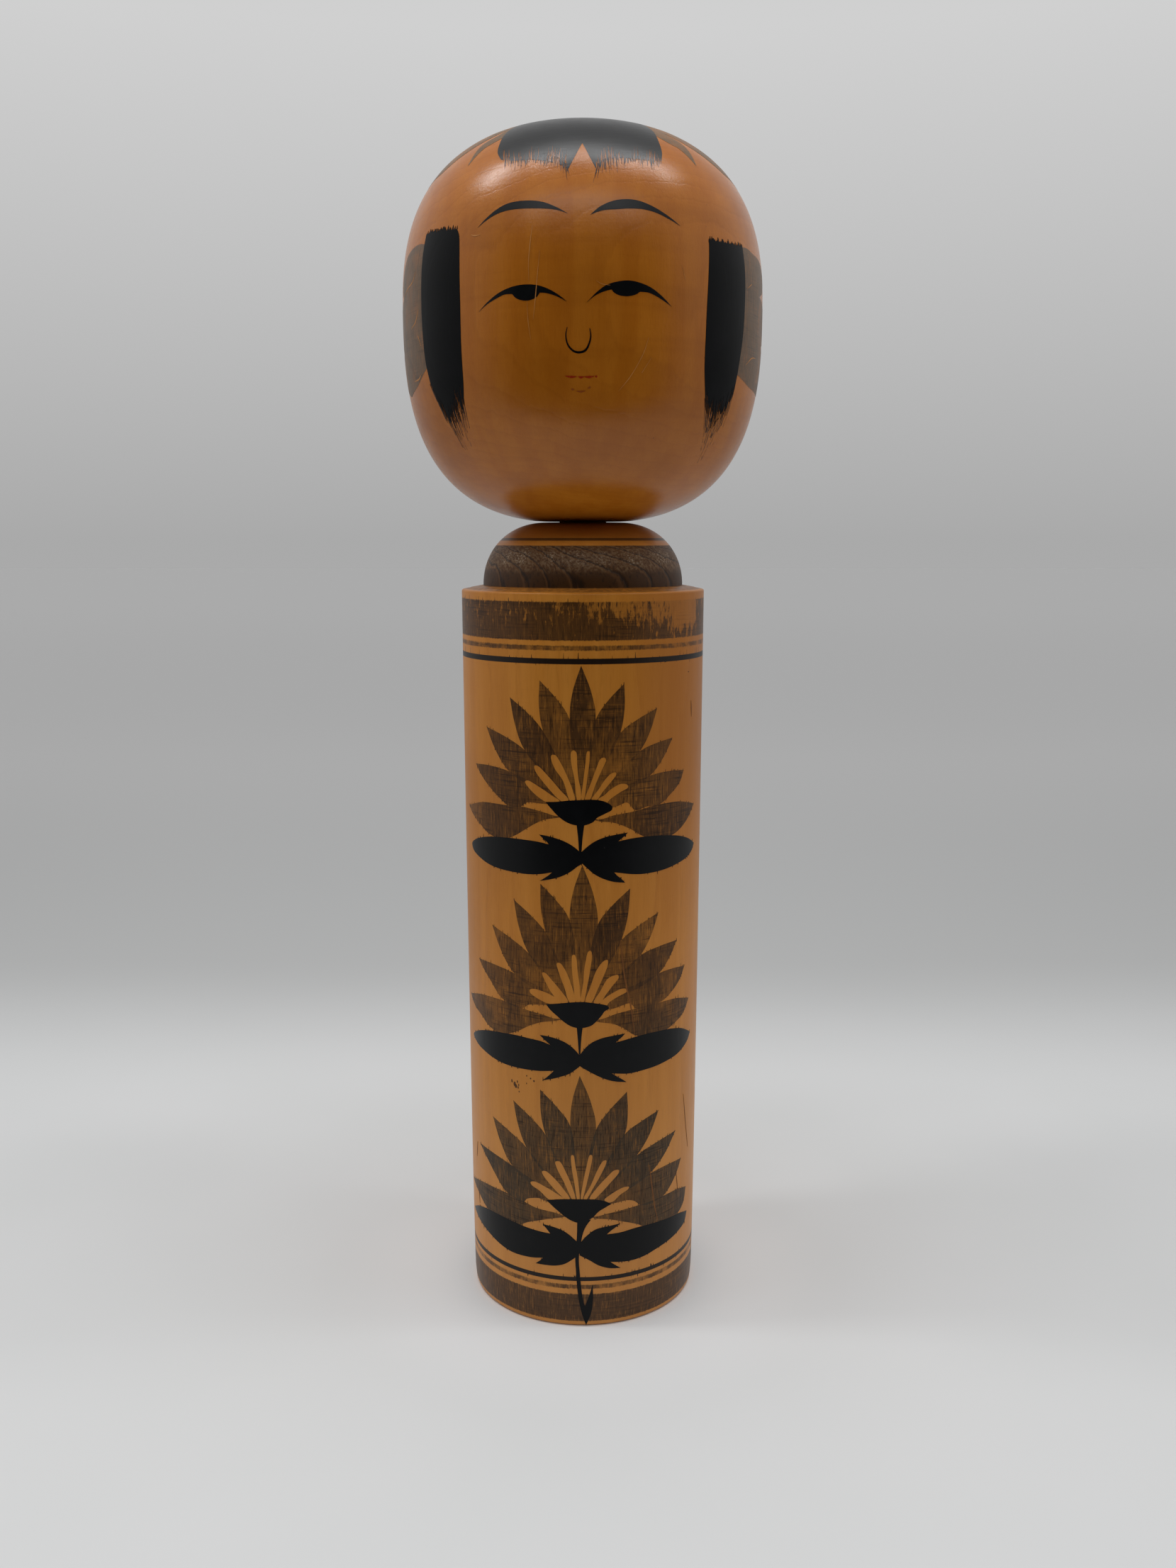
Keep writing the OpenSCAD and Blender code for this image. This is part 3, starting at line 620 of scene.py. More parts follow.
    # the dome shows end grain: ring lines with a bright side, pores strung along them, and chalky rubbed places
    fs = n.new("ShaderNodeSeparateXYZ")
    n.put(fs.inputs[0], w["flat"])
    arc = n.m("MULTIPLY", n.m("ARCTAN2", fs.outputs[0], n.m("MULTIPLY", fs.outputs[1], -1.0)), 36.0)
    strung = n.new("ShaderNodeCombineXYZ")
    n.put(strung.inputs[0], n.m("MULTIPLY", w["dist"], 2.6))
    n.put(strung.inputs[1], n.m("MULTIPLY", arc, 0.75))
    n.put(strung.inputs[2], n.m("MULTIPLY", z, 0.35))
    pores = n.noise(strung.outputs[0], 1.0, 3, 0.65)
    end = n.m("MULTIPLY", dome, n.step(z, 291.5, 295.0))
    c = n.mix(n.m("MULTIPLY", end, n.m("MULTIPLY", n.step(pores, 0.46, 0.62), 0.50)), c, srgb(144, 118, 86))
    c = n.mix(n.m("MULTIPLY", dome, n.m("MULTIPLY", n.step(pores, 0.46, 0.34), 0.55)), c, DYE_DEEP)
    rub = n.m("MULTIPLY", n.m("MULTIPLY", n.step(z, 294.6, 296.6), n.step(z, 301.6, 298.6)), n.step(n.noise(p, (0.10, 0.10, 0.05), 2), 0.40, 0.58))
    chalk = n.m("MULTIPLY", n.m("MULTIPLY", dome, rub), n.step(n.noise(p, (1.3, 1.3, 1.6), 3, 0.7), 0.48, 0.64))
    c = n.mix(n.m("MULTIPLY", chalk, 0.50), c, srgb(205, 186, 158))
    c = n.mix(n.m("MULTIPLY", n.m("MULTIPLY", w["line"], dome), 0.66), c, srgb(30, 18, 10))
    c = n.mix(n.m("MULTIPLY", n.m("MULTIPLY", w["glow"], dome), 0.26), c, srgb(140, 96, 56))
    # black ruled rings, with ink run along the grain
    zi = n.m("ADD", z, n.m("MULTIPLY", fuzz, 0.12))
    ring = n.m("MAXIMUM", n.band(zi, n.m("SUBTRACT", 260.3, tick_dn), n.m("ADD", 262.35, tick_up), 0.08),
               n.band(zi, n.m("SUBTRACT", 19.45, n.m("MULTIPLY", tick_dn, 0.8)), n.m("ADD", 21.2, n.m("MULTIPLY", tick_up, 0.5)), 0.08))
    c = n.mix(n.m("MULTIPLY", ring, 0.98), c, INK)
    # the wood that shows: deeper in colour high on one side
    bare = n.m("SUBTRACT", 1.0, n.m("MAXIMUM", n.m("MAXIMUM", cover, ring), n.step(z, 285.0, 286.0)))
    warm = n.m("MULTIPLY", n.m("MULTIPLY", n.step(w["x"], 6.0, 30.0), n.step(z, 140.0, 235.0)), n.m("MULTIPLY", bare, 0.62))
    c = n.mix(warm, c, srgb(166, 96, 18))
    # painted shade: bare wood high on the dome, just under the head, is darkened
    c = n.mix(n.m("MULTIPLY", n.step(z, 302.8, 306.0), n.m("MULTIPLY_ADD", cover, -0.42, 0.42)), c, srgb(112, 52, 8))
    # painted light: bare wood is made lighter towards the bottom of the body, away from the head's shade
    c = n.mix(n.m("MULTIPLY", n.m("MULTIPLY", n.step(z, 150.0, 40.0), 0.40), bare), c, srgb(214, 152, 88))
    rough = n.m("ADD", n.m("MULTIPLY_ADD", n.noise(p, 0.2, 2), 0.10, 0.33), n.m("MULTIPLY", cover_dome, 0.12))
    height = n.m("ADD", w["height"], n.m("MULTIPLY", dome, n.m("SUBTRACT", n.m("MULTIPLY", pores, 1.2), n.m("MULTIPLY", w["line"], 1.5))))
    return n.finish(c, rough, height, bump=0.35, spec=0.24)


def head_material():
    n = Nodes("head_turned_wood")
    w = wood(n, "head", figure=0.9)
    p = w["p"]
    # hand-darkened in soft clouds, with a few brown specks
    c = n.mix(n.m("MULTIPLY", n.step(n.noise(p, (0.03, 0.03, 0.05), 3), 0.42, 0.68), 0.24), w["color"], w["dark"])
    c = n.mix(n.m("MULTIPLY", n.step(n.noise(p, (0.01, 0.01, 0.13), 3, 0.6), 0.50, 0.68), 0.14), c, w["dark"])
    c = n.mix(n.m("MULTIPLY", n.step(n.noise(p, (0.35, 0.35, 0.22), 3, 0.6), 0.56, 0.75), 0.10), c, w["light"])
    specks = n.step(n.noise(p, (0.75, 0.75, 0.5), 1), 0.80, 0.84)
    c = n.mix(n.m("MULTIPLY", specks, 0.45), c, srgb(62, 30, 12))
    rough = n.m("MULTIPLY_ADD", n.noise(p, 0.12, 3), 0.12, 0.18)
    fibres = n.noise(p, (3.4, 3.4, 0.14), 2, 0.6)
    dimples = n.noise(p, (1.1, 1.1, 0.8), 3, 0.6)
    height = n.m("ADD", w["height"], n.m("ADD", n.m("MULTIPLY", fibres, 0.55), n.m("MULTIPLY", dimples, 0.95)))
    return n.finish(c, rough, height, bump=0.36, spec=0.38)


def plain_material(name, which, color, cover=0.8, rough=0.34, spec=0.3):
    n = Nodes(name)
    w = wood(n, which)
    light, _ = weave(n, w)
    c = n.mix(n.m("SUBTRACT", cover, n.m("MULTIPLY", light, 0.25)), w["color"], color)
    return n.finish(c, n.m("MULTIPLY_ADD", w["fine"], 0.06, rough), w["height"], bump=0.3, spec=spec)


# ---------------------------------------------------------------- the two turnings
def revolve(name, prof, seg, body, node, mat, weights, sharp=()):
    """prof is (r, z) from the bottom outside round to the end; weights scale each span's share of the bake map."""
    verts, rings = [], []
    for r, z in prof:
        if r < 1e-6:
            rings.append([len(verts)])
            verts.append((0.0, 0.0, z * MM))
        else:
            rings.append(list(range(len(verts), len(verts) + seg)))
            for i in range(seg):
                a = 2 * math.pi * i / seg + math.pi      # the bake map's seam is at the back
                verts.append((r * math.sin(a) * MM, -r * math.cos(a) * MM, z * MM))
    acc = [0.0]
    for (r0, z0), (r1, z1), wt in zip(prof, prof[1:], weights):
        acc.append(acc[-1] + math.hypot(r1 - r0, z1 - z0) * wt)
    faces, uvs = [], []
    for k in range(len(prof) - 1):
        a, b = rings[k], rings[k + 1]
        v0, v1 = 0.005 + 0.99 * acc[k] / acc[-1], 0.005 + 0.99 * acc[k + 1] / acc[-1]
        for i in range(seg):
            j = (i + 1) % seg
            u0, u1 = 0.005 + 0.99 * i / seg, 0.005 + 0.99 * (i + 1) / seg
            if len(a) == 1:
                faces.append((a[0], b[j], b[i])); uvs += [((u0 + u1) / 2, v0), (u1, v1), (u0, v1)]
            elif len(b) == 1:
                faces.append((a[i], a[j], b[0])); uvs += [(u0, v0), (u1, v0), ((u0 + u1) / 2, v1)]
            else:
                faces.append((a[i], a[j], b[j], b[i])); uvs += [(u0, v0), (u1, v0), (u1, v1), (u0, v1)]
    me = bpy.data.meshes.new(name)
    me.from_pydata(verts, [], faces)
    me.update()
    uv = me.uv_layers.new(name="OFBake")
    uv.data.foreach_set("uv", np.array(uvs, np.float32).ravel())
    me.shade_smooth()
    me.materials.append(mat)
    if sharp:
        ring_of = {}
        for k in sharp:
            for v in rings[k]:
                ring_of[v] = k
        for e in me.edges:
            a, b = e.vertices
            if ring_of.get(a) is not None and ring_of.get(a) == ring_of.get(b):
                e.use_edge_sharp = True
    ob = bpy.data.objects.new(name, me)
    bpy.context.scene.collection.objects.link(ob)
    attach(ob, body)
    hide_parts(node)
    return ob


def body_profile():
    pts, wts, sharp = [(0.0, 0.0)], [], []

    def add(r, z, wt, hard=False):
        pts.append((r, z)); wts.append(wt)
        if hard:
            sharp.append(len(pts) - 1)
    for r in (6, 12, 18, 24, 30, 36, 40, BASE_R - 1.6):
        add(r, 0.0, 0.35)
    for i in range(1, 7):
        a = math.radians(-90 + 90 * i / 6)
        add(BASE_R - 1.6 + 1.6 * math.cos(a), 1.6 + 1.6 * math.sin(a), 1.0)
    n = 70
    for i in range(1, n + 1):
        z = 1.6 + (RIM_H - 0.8 - 1.6) * i / n
        add(min(RIM_R, body_r(z)), z, 1.0)
    for i in range(1, 7):
        a = math.radians(90 * i / 6)
        add(RIM_R - 0.8 + 0.8 * math.cos(a), RIM_H - 0.8 + 0.8 * math.sin(a), 1.0)
    # the ledge climbs to the dome through a tool-cut corner, with two faint turned steps
    for u in (0.15, 0.32, 0.36, 0.55, 0.74, 0.78, 0.93):
        r = RIM_R - 0.8 + (FOOT_R + 0.25 - RIM_R + 0.8) * u
        z = RIM_H + (FOOT_H - RIM_H) * u + (0.10 if u in (0.36, 0.55, 0.78) else 0.0)
        add(r, z, 1.0)
    add(FOOT_R, FOOT_H, 1.0, hard=True)
    m = 40
    for i in range(1, m + 1):
        a = math.radians(90 * i / m)
        add(SEAT_R + (FOOT_R - SEAT_R) * math.cos(a) ** (2 / 2.1), FOOT_H + DOME_H * math.sin(a) ** (2 / 2.1), 1.0)
    add(12.0, FOOT_H + DOME_H, 0.6)
    add(9.85, FOOT_H + DOME_H, 0.6, hard=True)
    add(9.05, FOOT_H + DOME_H - 0.8, 0.3)
    add(9.05, 303.0, 0.2, hard=True)
    add(10.7, 303.0, 0.2, hard=True)
    add(10.7, 288.9, 0.2)
    add(8.5, 285.7, 0.2, hard=True)
    add(0.0, 285.7, 0.2)
    return pts, wts, sharp


def head_profile():
    pts, wts, sharp = [(0.0, 288.7)], [], []

    def add(r, z, wt, hard=False):
        pts.append((r, z)); wts.append(wt)
        if hard:
            sharp.append(len(pts) - 1)
    add(7.2, 288.7, 0.2, hard=True)
    add(8.0, 289.5, 0.2)
    add(10.4, 295.7, 0.2, hard=True)
    add(10.4, 302.7, 0.2, hard=True)
    add(9.0, 302.7, 0.2, hard=True)
    add(9.0, 306.5, 0.2)
    add(9.0, UNDER_H - 0.25, 0.2)
    add(9.15, UNDER_H - 0.05, 0.5)
    add(9.6, UNDER_H, 0.5, hard=True)
    add(12.5, UNDER_H, 0.6)
    add(15.2, UNDER_H + 0.02, 0.6)
    m = 64
    for i in range(m - 1, -1, -1):
        a = math.radians(90 * i / m)
        r, z = HEAD_R * math.cos(a) ** (2 / JAW_N), WIDE_H - JAW_H * math.sin(a) ** (2 / JAW_N)
        if z > UNDER_H + 0.06 and r > 16.2:
            add(r, z, 1.0)
    for i in range(1, m):
        a = math.radians(90 * i / m)
        add(HEAD_R * math.cos(a) ** (2 / CROWN_N), WIDE_H + (TOTAL_H - WIDE_H) * math.sin(a) ** (2 / CROWN_N), 1.0)
    add(0.0, TOTAL_H, 1.0)
    return pts, wts, sharp


pts, wts, sharp = body_profile()
body_ob = revolve("body_turned", pts, 288, "body", "body", body_material(), wts, sharp)
pts, wts, sharp = head_profile()
head_ob = revolve("head_turned", pts, 320, "head", "head", head_material(), wts, sharp)

# ---------------------------------------------------------------- flowers, leaves and stems on the body
B = (math.radians(1) * 46.4, 1.0)          # flat mm per degree on the body
H = (math.radians(1) * 66.5, 1.0)          # and on the head
PETAL = dye_material("petal_dye", "body", strength=0.96, hearts=[f["base"][1] + 5.0 for f in FLOWERS])
LEAF = ink_material("leaf_ink", "body")


def mid(a, b, bulge, side):
    """A point half way from a to b, pushed sideways."""
    ax, ay, bx, by = a[0] * B[0], a[1], b[0] * B[0], b[1]
    mx, my = (ax + bx) / 2, (ay + by) / 2
    dx, dy = bx - ax, by - ay
    return ((mx - dy * bulge * side) / B[0], my + dx * bulge * side)


for k, f in enumerate(FLOWERS):
    tips, notch, base = f["tips"], f["notch"], f["base"]
    shapes, dens = [], []
    for i in range(11):
        t = (tips[i][0], tips[i][1], 1)
        if i == 0:
            pts = [t, mid(t, notch[0], 0.05, 1), notch[0]] + f["low_l_top"] + [base] + f["low_l"][::-1]
        elif i == 10:
            pts = [t] + f["low_r"] + [base] + f["low_r_top"][::-1] + [notch[9], mid(notch[9], t, 0.05, 1)]
        elif i == 1:
            pts = [t, mid(t, notch[1], 0.04, 1), notch[1], (base[0], base[1] + 3, 1)] + f["p5_low"][::-1]
        elif i == 9:
            pts = [t] + f["p10_low"] + [(base[0], base[1] + 3, 1), notch[8], mid(notch[8], t, 0.04, 1)]
        else:
            pts = [t, mid(t, notch[i], 0.05, 1), notch[i], (base[0], base[1], 1), notch[i - 1], mid(notch[i - 1], t, 0.05, 1)]
        shapes.append(smooth_outline(pts, B))
        dens.append(0.88 + 0.16 * SEED.random())
    holes = [smooth_outline(s, B, 0.7) for s in f["stamens"]]
    extra = []
    for s in shapes:
        extra += runs(s, 3.2, 0.9, 0.28)
    film(f"petals_{k + 1}", shapes + extra, holes, map_body, B, "body", PETAL, lift=0.05, dens=dens + [1.0] * len(extra))
    shapes = [smooth_outline(f[key], B, 0.8) for key in ("calyx", "stem", "leaf_l", "leaf_r")]
    cx, cz = f["stem"][2][0], (f["leaf_l"][0][1] + f["leaf_l"][-1][1]) / 2
    shapes.append(smooth_outline([(cx - 1.6, cz + 1.9), (cx + 2.2, cz + 1.9), (cx + 2.2, cz - 1.9), (cx - 1.6, cz - 1.9)], B, 0.8))
    extra = []
    for s in (shapes[2], shapes[3]):
        extra += runs(s, 6.0, 0.8, 0.3)
    film(f"leaves_{k + 1}", shapes + extra, [], map_body, B, "body", LEAF, lift=0.09)

# ---------------------------------------------------------------- face
HAIR = ink_material("hair_ink", "head", edge=0.05, spec=0.45)
LOCK = ink_material("sidelock_ink", "head", edge=0.05, spec=0.10)
DRY = plain_material("dry_ink", "head", srgb(20, 16, 13), cover=0.96, rough=0.30, spec=0.25)
FACE = ink_material("face_ink", "head", spec=0.30)
film("brow_right", [smooth_outline(BROW_L, H, 0.5)], [], map_head, H, "head", FACE, lift=0.06, grid=1.4)
film("brow_left", [smooth_outline(BROW_R, H, 0.5)], [], map_head, H, "head", FACE, lift=0.06, grid=1.4)
film("eye_right", [smooth_outline(EYE_L, H, 0.45)], [], map_head, H, "head", FACE, lift=0.06, grid=1.4)
film("eye_left", [smooth_outline(EYE_R, H, 0.45)], [], map_head, H, "head", FACE, lift=0.06, grid=1.4)
film("nose", [stroke(NOSE, (0.22, 0.38, 0.5, 0.62, 0.74, 0.74, 0.6, 0.45, 0.25), H, 0.5)], [], map_head, H, "head", FACE, lift=0.06, grid=1.4)
MOUTH_RED = plain_material("mouth_red", "head", srgb(152, 28, 8), cover=0.94, spec=0.2)
MOUTH_FAINT = plain_material("mouth_faint", "head", srgb(128, 48, 12), cover=0.72)
dashes = [stroke([(a, 358.7 - 0.25 * math.sin((a + 4.9) * 0.34)), ((a + b) / 2, 358.55 - 0.3 * math.sin(((a + b) / 2 + 4.9) * 0.34)), (b, 358.7 - 0.25 * math.sin((b + 4.9) * 0.34))], (0.25, 0.85, 0.25), H, 0.4)
          for a, b in ((-4.9, -1.6), (-1.2, 0.6), (0.7, 3.5), (3.8, 4.5))]
film("mouth", dashes, [], map_head, H, "head", MOUTH_RED, lift=0.05, grid=1.4)
film("lower_lip", [stroke(c, (0.25, 0.7, 0.25), H, 0.4) for c in ([(-3.2, 354.6), (-2.8, 354.4), (-2.3, 354.4)], [(-1.6, 353.9), (-0.3, 353.7), (1.0, 354.0)], [(1.8, 354.7), (2.2, 355.0), (2.6, 355.2)])], [], map_head, H, "head", MOUTH_FAINT, lift=0.05, grid=1.4)

# ---------------------------------------------------------------- hair: sidelocks and fringe, in a dry flat brush
LOCK_END = {"sidelock_right": [(-54.8, 357.4), (-52.6, 353.2), (-48.2, 346.8), (-43.8, 350.6), (-39.6, 352.6)],
            "sidelock_left": [(55.6, 356.4), (53.2, 352.2), (48.4, 348.2), (45.0, 349.5), (41.7, 351.3)]}
for name, outline, side in (("sidelock_right", BURN_L, -1), ("sidelock_left", BURN_R, 1)):
    solid = smooth_outline(outline, H, 0.8)
    pts = np.array(solid)
    x0, x1 = pts[:, 0].min(), pts[:, 0].max()
    # the V the brush leaves at its end: (angle, height) from the outer corner over the tip to the inner corner
    foot = LOCK_END[name]
    fx, fz = [q[0] * H[0] for q in foot], [q[1] for q in foot]
    shapes, holes, wisps = [solid], [], []
    for i in range(64 + 26):
        long = i >= 64
        u = ((i - 64 if long else i) + SEED.random()) / (26 if long else 64)
        x = fx[0] + (fx[-1] - fx[0]) * u
        z = float(np.interp(x, fx, fz) if fx[0] < fx[-1] else np.interp(-x, [-v for v in fx], fz))
        # u runs from the outer corner; the hairs gather inwards at the outer edge
        lean = side * -(0.46 * (1 - u) ** 1.3 - 0.02 * u) if side < 0 else -0.12 * (1 - u) + 0.32 * u ** 2.2
        room = 0.45 + 0.75 * u if side < 0 else 0.80 + 0.35 * math.sin(math.pi * u)
        ell = ((5.5 + 10.0 * SEED.random() ** 1.2) if long else (0.8 + 4.6 * SEED.random() ** 1.4)) * room
        back = 1.8
        mark = sliver(x - lean * back, z + back, lean * (ell + back), -(ell + back), (0.24 + 0.18 * SEED.random()) if long else (0.20 + 0.28 * SEED.random()), tip=0.3)
        (wisps if long else shapes).append(mark)
    for i in range(46):
        u = SEED.random()
        x = fx[0] + (fx[-1] - fx[0]) * u
        z = float(np.interp(x, fx, fz) if fx[0] < fx[-1] else np.interp(-x, [-v for v in fx], fz))
        lean = side * -(0.46 * (1 - u) ** 1.3 - 0.02 * u) if side < 0 else -0.12 * (1 - u) + 0.32 * u ** 2.2
        ell = 1.5 + 4.5 * SEED.random() ** 1.6
        holes.append(sliver(x + lean * 2.5, z - 2.5, -lean * (ell + 2.5), ell + 2.5, 0.12 + 0.14 * SEED.random(), tip=0.4))
    tops = [p for p in outline if p[1] > 404.5 and len(p) > 2]
    (ax, ay), (bx, by) = [(p[0] * H[0], p[1]) for p in tops[:2]]
    for i in range(34):
        u = (i + SEED.random()) / 34
        shapes.append(sliver(ax + (bx - ax) * u, ay + (by - ay) * u - 0.8, 0.05, 1.1 + 1.3 * SEED.random(), 0.5 + 0.4 * SEED.random()))
    film(name, shapes, holes, map_head, H, "head", LOCK, lift=0.09)
    film(name + "_wisps", wisps, [], map_head, H, "head", DRY, lift=0.06, grid=1.2)

ONE = (1.0, 1.0)
solid = smooth_outline(FRINGE, ONE, 0.8)
shapes, holes, wisps = [solid], [], []
for s in (-1, 1):
    def edge(u):
        """Front edge of the fringe, from the parting outwards."""
        side_pts = [(5.6, 69.2), (7.4, 67.4), (10.6, 65.2), (15.8, 63.2), (21.0, 61.4), (26.0, 59.4), (29.8, 56.8)]
        k = u * (len(side_pts) - 1)
        i = min(len(side_pts) - 2, int(k))
        f = k - i
        return s * (side_pts[i][0] * (1 - f) + side_pts[i + 1][0] * f), -(side_pts[i][1] * (1 - f) + side_pts[i + 1][1] * f)
    for i in range(66 + 30):
        long = i >= 66
        u = ((i - 66 if long else i) + SEED.random()) / (30 if long else 66)
        x, y = edge(u)
        lean = s * (-0.34 * max(0.0, 1 - u * 3.2) + 0.10 + 0.10 * u) + 0.10 * (SEED.random() - 0.5)
        ell = (1.8 + 4.6 * SEED.random() ** 1.5) * (1.0 - 0.30 * u) if long else (0.4 + 2.6 * SEED.random() ** 1.4)
        back = 1.6
        mark = sliver(x - lean * back, y + back, lean * (ell + back), -(ell + back), (0.16 + 0.18 * SEED.random()) if long else (0.20 + 0.26 * SEED.random()), tip=0.3)
        (wisps if long else shapes).append(mark)
    for i in range(74):
        x, y = edge(SEED.random())
        ell = 1.5 + 5.5 * SEED.random() ** 1.5
        lean = -0.10 * s + 0.10 * (SEED.random() - 0.5)
        holes.append(sliver(x - lean * 2.5, y - 2.5, lean * (ell + 2.5), ell + 2.5, 0.13 + 0.20 * SEED.random(), tip=0.3))
film("fringe_wisps", wisps, [], map_crown, ONE, "head", DRY, lift=0.06, grid=1.2)
film("fringe", shapes, holes, map_crown, ONE, "head", HAIR, lift=0.09)

# a short tuft behind the crown, and the cord's ribbons that fan out from the knot
tuft = smooth_outline([(-3.0, 3.0), (-8.0, 14.0), (-12.5, 26.0), (-13.5, 33.0, 1), (-5.0, 36.0), (5.0, 36.0), (13.5, 33.0, 1), (12.5, 26.0), (8.0, 14.0), (3.0, 3.0), (0.0, 1.0)], ONE, 0.8)
shapes = [tuft]
for i in range(44):
    x = -13.0 + 26.0 * (i + SEED.random()) / 44
    shapes.append(sliver(x, 32.0, x * 0.12, 4.0 + 7.5 * SEED.random() ** 1.4, 0.35 + 0.5 * SEED.random()))
film("back_tuft", shapes, [], map_crown, ONE, "head", HAIR, lift=0.09)
RIBBON = dye_material("ribbon_dye", "head", strength=0.92, deep=0.30, tint=srgb(100, 80, 54), spec=0.4)
ribbons = []
for s in (-1, 1):
    wide = 8.6 if s > 0 else 6.0
    ribbons.append(stroke([(s * 3, -6), (s * 13, -21), (s * 22, -32.0), (s * 29.5, -38.3), (s * 36.0, -39.6), (s * 43.8, -45.8)], (2.2, 4.6, 5.4, wide, wide * 0.9, 0.25), ONE))
    ribbons.append(stroke([(s * 4, -4), (s * 17, -18), (s * 30, -28.5), (s * 41, -28.5), (s * 52, -24.5), (s * 63.5, -13.5)], (2.2, 5.4, 9.0, 9.6, 9.0, 0.3), ONE))
    ribbons.append(stroke([(s * 4, -1), (s * 20, -4), (s * 36, -3), (s * 50, 2), (s * 62, 8)], (2.2, 5.0, 6.4, 5.0, 0.25), ONE))
    ribbons.append(stroke([(s * 4, 2), (s * 17, 10), (s * 31, 20), (s * 42, 32), (s * 50, 44)], (2.2, 4.6, 5.8, 4.2, 0.25), ONE))
film("crown_ribbons", ribbons, [], map_crown, ONE, "head", RIBBON, lift=0.05, dens=[1.0] * 8)

# scalloped bows behind the sidelocks: three strokes a side that fan backwards
ORNAMENT = dye_material("side_bow_dye", "head", strength=0.94, deep=0.40, tint=srgb(98, 78, 56), spec=0.4)
BOWS = {"side_bow_right": [(-55.0, 406.0, 1), (-60.0, 407.0), (-66.1, 406.5), (-70.9, 405.0), (-74.2, 402.3), (-77.2, 397.4), (-78.0, 393.8), (-75.4, 390.9, 1),
                            (-80.4, 388.6), (-86.5, 384.0), (-87.0, 378.4), (-80.2, 372.6, 1), (-85.6, 369.0), (-87.4, 364.0), (-83.0, 359.2), (-75.5, 356.4, 1),
                            (-69.5, 357.8), (-64.5, 359.4), (-56.0, 364.6, 1)],
        "side_bow_left": [(55.0, 405.0, 1), (60.3, 405.8), (65.8, 404.9), (72.4, 404.2), (78.0, 402.2), (81.2, 399.2), (79.6, 394.6), (72.4, 391.2, 1),
                          (78.0, 390.0), (86.5, 386.0), (89.0, 380.4), (85.0, 376.8), (78.4, 374.6, 1), (86.0, 371.6), (90.5, 366.0), (89.0, 360.6), (83.0, 357.4, 1),
                          (74.0, 358.2), (66.0, 359.2), (55.0, 362.6, 1)]}
for name, s in (("side_bow_right", -1), ("side_bow_left", 1)):
    film(name, [smooth_outline(BOWS[name], H, 0.8)], [], map_head, H, "head", ORNAMENT, lift=0.05, dens=[1.0])

# ---------------------------------------------------------------- knots, cracks and bruises in the wood
MARK = plain_material("old_marks", "body", srgb(44, 20, 8), cover=0.9, rough=0.5)
CRACK = plain_material("hair_cracks", "body", srgb(96, 50, 18), cover=0.8, rough=0.5)
spots = []
for x, z, rx, rz in ((-36.3, 98.5, 0.35, 0.7), (-34.7, 97.6, 0.6, 1.0), (-34.0, 96.9, 0.55, 0.9), (-33.0, 98.8, 0.3, 0.6), (-32.3, 97.5, 0.25, 0.5), (-32.6, 96.4, 0.3, 0.5),
                     (-32.1, 94.9, 0.25, 0.4), (-27.7, 102.0, 0.25, 0.35), (-25.6, 101.2, 0.35, 0.3), (-23.8, 100.4, 0.4, 0.45), (-27.8, 98.9, 0.2, 0.3),
                     (34.5, 200.9, 0.35, 0.5), (35.7, 201.6, 0.4, 0.55), (36.6, 201.2, 0.3, 0.4), (38.3, 203.5, 0.4, 0.6), (39.0, 203.8, 0.3, 0.4), (58.0, 255.6, 0.5, 0.2)):
    spots.append([(x * B[0] + rx * math.cos(a) * (0.7 + 0.5 * SEED.random()), z + rz * math.sin(a) * (0.7 + 0.5 * SEED.random())) for a in np.linspace(0, 2 * math.pi, 9)[:-1]])
film("knot_specks", spots, [], map_body, B, "body", MARK, lift=0.06, grid=1.0)
cracks = [stroke(c, w, B, 0.8) for c, w in (
    ([(61.0, 244.6), (61.5, 241.5), (61.7, 238.4)], (0.1, 0.6, 0.1)),
    ([(59.6, 87.5), (61.4, 80.0), (62.6, 75.1), (66.3, 63.1)], (0.1, 0.35, 0.3, 0.1)),
    ([(53.4, 57.4), (54.6, 52.2), (55.8, 47.0)], (0.1, 0.4, 0.1)),
    ([(-67.4, 65.0), (-68.2, 61.5), (-69.0, 58.2)], (0.1, 0.5, 0.1)),
    ([(-67.2, 46.0), (-66.6, 42.2), (-66.0, 38.8)], (0.1, 0.5, 0.1)),
    ([(34.2, 64.4), (35.0, 60.0), (36.2, 54.0), (37.0, 50.2), (38.1, 45.3), (40.0, 40.1)], (0.1, 0.4, 0.5, 0.4, 0.35, 0.1)),
    ([(17.6, 157.0), (18.6, 150.5), (19.4, 144.4), (20.9, 137.9), (22.9, 131.3), (25.1, 118.7)], (0.1, 0.4, 0.45, 0.5, 0.4, 0.1)))]
film("hair_cracks", cracks, [], map_body, B, "body", CRACK, lift=0.10, grid=1.0)

